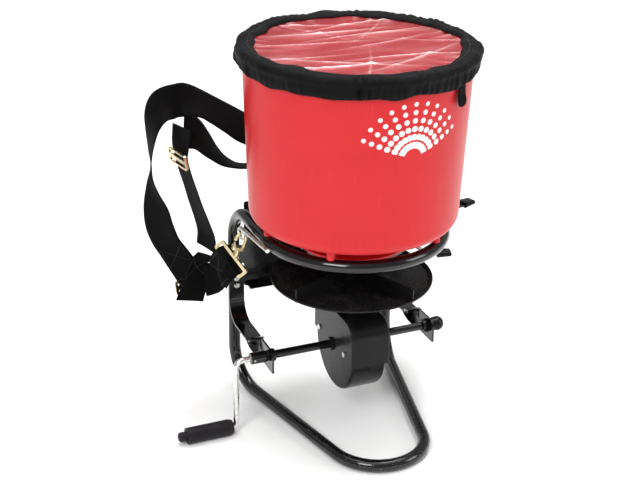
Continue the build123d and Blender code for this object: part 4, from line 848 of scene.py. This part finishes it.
tab = surface("rain_cover_tab", tab_grid, webbing_finish, "cover_cloth", "cover",
              loop_columns=True, caps=True)
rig.replaces(tab, "cover_tab")
tab_length = float(tab_z[0] - tab_z[-1])
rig.sheet(tab, flat=(0.025, tab_length), held="hung", rests_on=["cover_band"])
print("tab length", round(tab_length, 4))

# %% [markdown]
# ## Sewing
# A row of stitches is many copies of one small thread, a stretched ball. Its points are u, v on a ball, and
# each copy is placed by three directions: along the seam, out of the cloth, and the cross of the two. All
# the copies are worked out at once as one array and kept in one mesh.

# %% Stitches
def stitches(name, line, normals, pitch, body, slot, closed=False, thread=0.00045, fill=0.72):
    """Threads along a line of points: point = centre + along * u + out * v + beside * w.

    `thread` is a thread's radius and `fill` how much of the pitch it takes."""
    if closed:
        line, normals = np.vstack([line, line[:1]]), np.vstack([normals, normals[:1]])
    run = np.concatenate([[0], np.cumsum(np.linalg.norm(np.diff(line, axis=0), axis=1))])
    count = max(int(run[-1] / pitch), 2)
    at = (np.arange(count) + 0.5) * run[-1] / count
    centre = np.stack([np.interp(at, run, line[:, k]) for k in range(3)], axis=-1)
    out = unit(np.stack([np.interp(at, run, normals[:, k]) for k in range(3)], axis=-1))
    along = unit(np.gradient(centre, axis=0))
    beside = np.cross(along, out)
    lap, ring = np.meshgrid(np.linspace(0.12, math.pi - 0.12, 7), np.arange(6) * math.pi / 3, indexing="ij")
    ball = np.stack([np.cos(lap) * pitch * fill / 2, np.sin(lap) * np.sin(ring) * thread,
                     np.sin(lap) * np.cos(ring) * thread], axis=-1).reshape(-1, 3)
    axes = (along, out, beside)
    points = centre[:, None] + sum(ball[None, :, k : k + 1] * d[:, None] for k, d in enumerate(axes))
    i, j = np.meshgrid(np.arange(6), np.arange(6), indexing="ij")
    right_of = (j + 1) % 6
    quads = np.stack([i * 6 + j, i * 6 + right_of, (i + 1) * 6 + right_of, (i + 1) * 6 + j], axis=-1)
    faces = (quads.reshape(-1, 4)[None] + np.arange(count)[:, None, None] * ball.shape[0]).reshape(-1, 4)
    mesh = bpy.data.meshes.new(name)
    mesh.from_pydata(points.reshape(-1, 3).tolist(), [], faces.tolist())
    mesh.uv_layers.new(name="UVMap")
    mesh.shade_smooth()
    mesh.materials.append(thread_finish)
    piece = bpy.data.objects.new(name, mesh)
    bpy.context.scene.collection.objects.link(piece)
    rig.slot(piece, slot)
    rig.ride(piece, body)


band_around = np.roll(band_grid, -1, axis=1) - np.roll(band_grid, 1, axis=1)
band_normal = unit(np.cross(band_around, np.gradient(band_grid, axis=0)))
outward = band_normal[..., 2:3] + (band_grid * band_normal)[..., :2].sum(-1, keepdims=True)
band_normal *= np.where(outward > 0, 1, -1)
for seam_name, seam_row in (("window_seam", 6), ("hem_seam", 28)):
    seam_out = band_normal[seam_row]
    lift = band_grid[seam_row] + seam_out * 0.0005
    stitches(f"stitches_{seam_name}", lift, seam_out, 0.0042, "cover", "cover_cloth", closed=True)


def sewn_box(name, lines, first, last, edge=0.8):
    """A box of stitches with a cross in it, on the outside of a strap between two of its rows."""
    centre, facing, across = (part[first:last] for part in lines)
    t = np.linspace(-edge, edge, len(centre))
    skin = facing * (WEB_THICK / 2 + 0.0004)
    half = WEB_WIDTH / 2
    for label, place in (("left", -edge), ("right", edge), ("cross_a", t), ("cross_b", -t)):
        line = centre + skin + across * np.broadcast_to(place, t.shape)[:, None] * half
        line = line + facing * (WEB_CURL * np.broadcast_to(place, t.shape) ** 2)[:, None]
        stitches(f"{name}_{label}", line, facing, 0.0034, "frame", "webbing")


sewn_box("sewn_lead", straps["lead"], 22, 40)
sewn_box("sewn_shoulder", straps["shoulder"], 236, 252)
sewn_box("sewn_tail", straps["tail"], 6, 24)
print("sewing done")

# %% [markdown]
# ## Close
# The CAD box from the start and the finished box are kept side by side, so a piece that grew past the real
# size shows up as a number.

# %% Sizes and finish
json.dump({"cad": cad_box, "visual": [list(corner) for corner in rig.bounds()]}, open("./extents.json", "w"))
print(open("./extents.json").read())
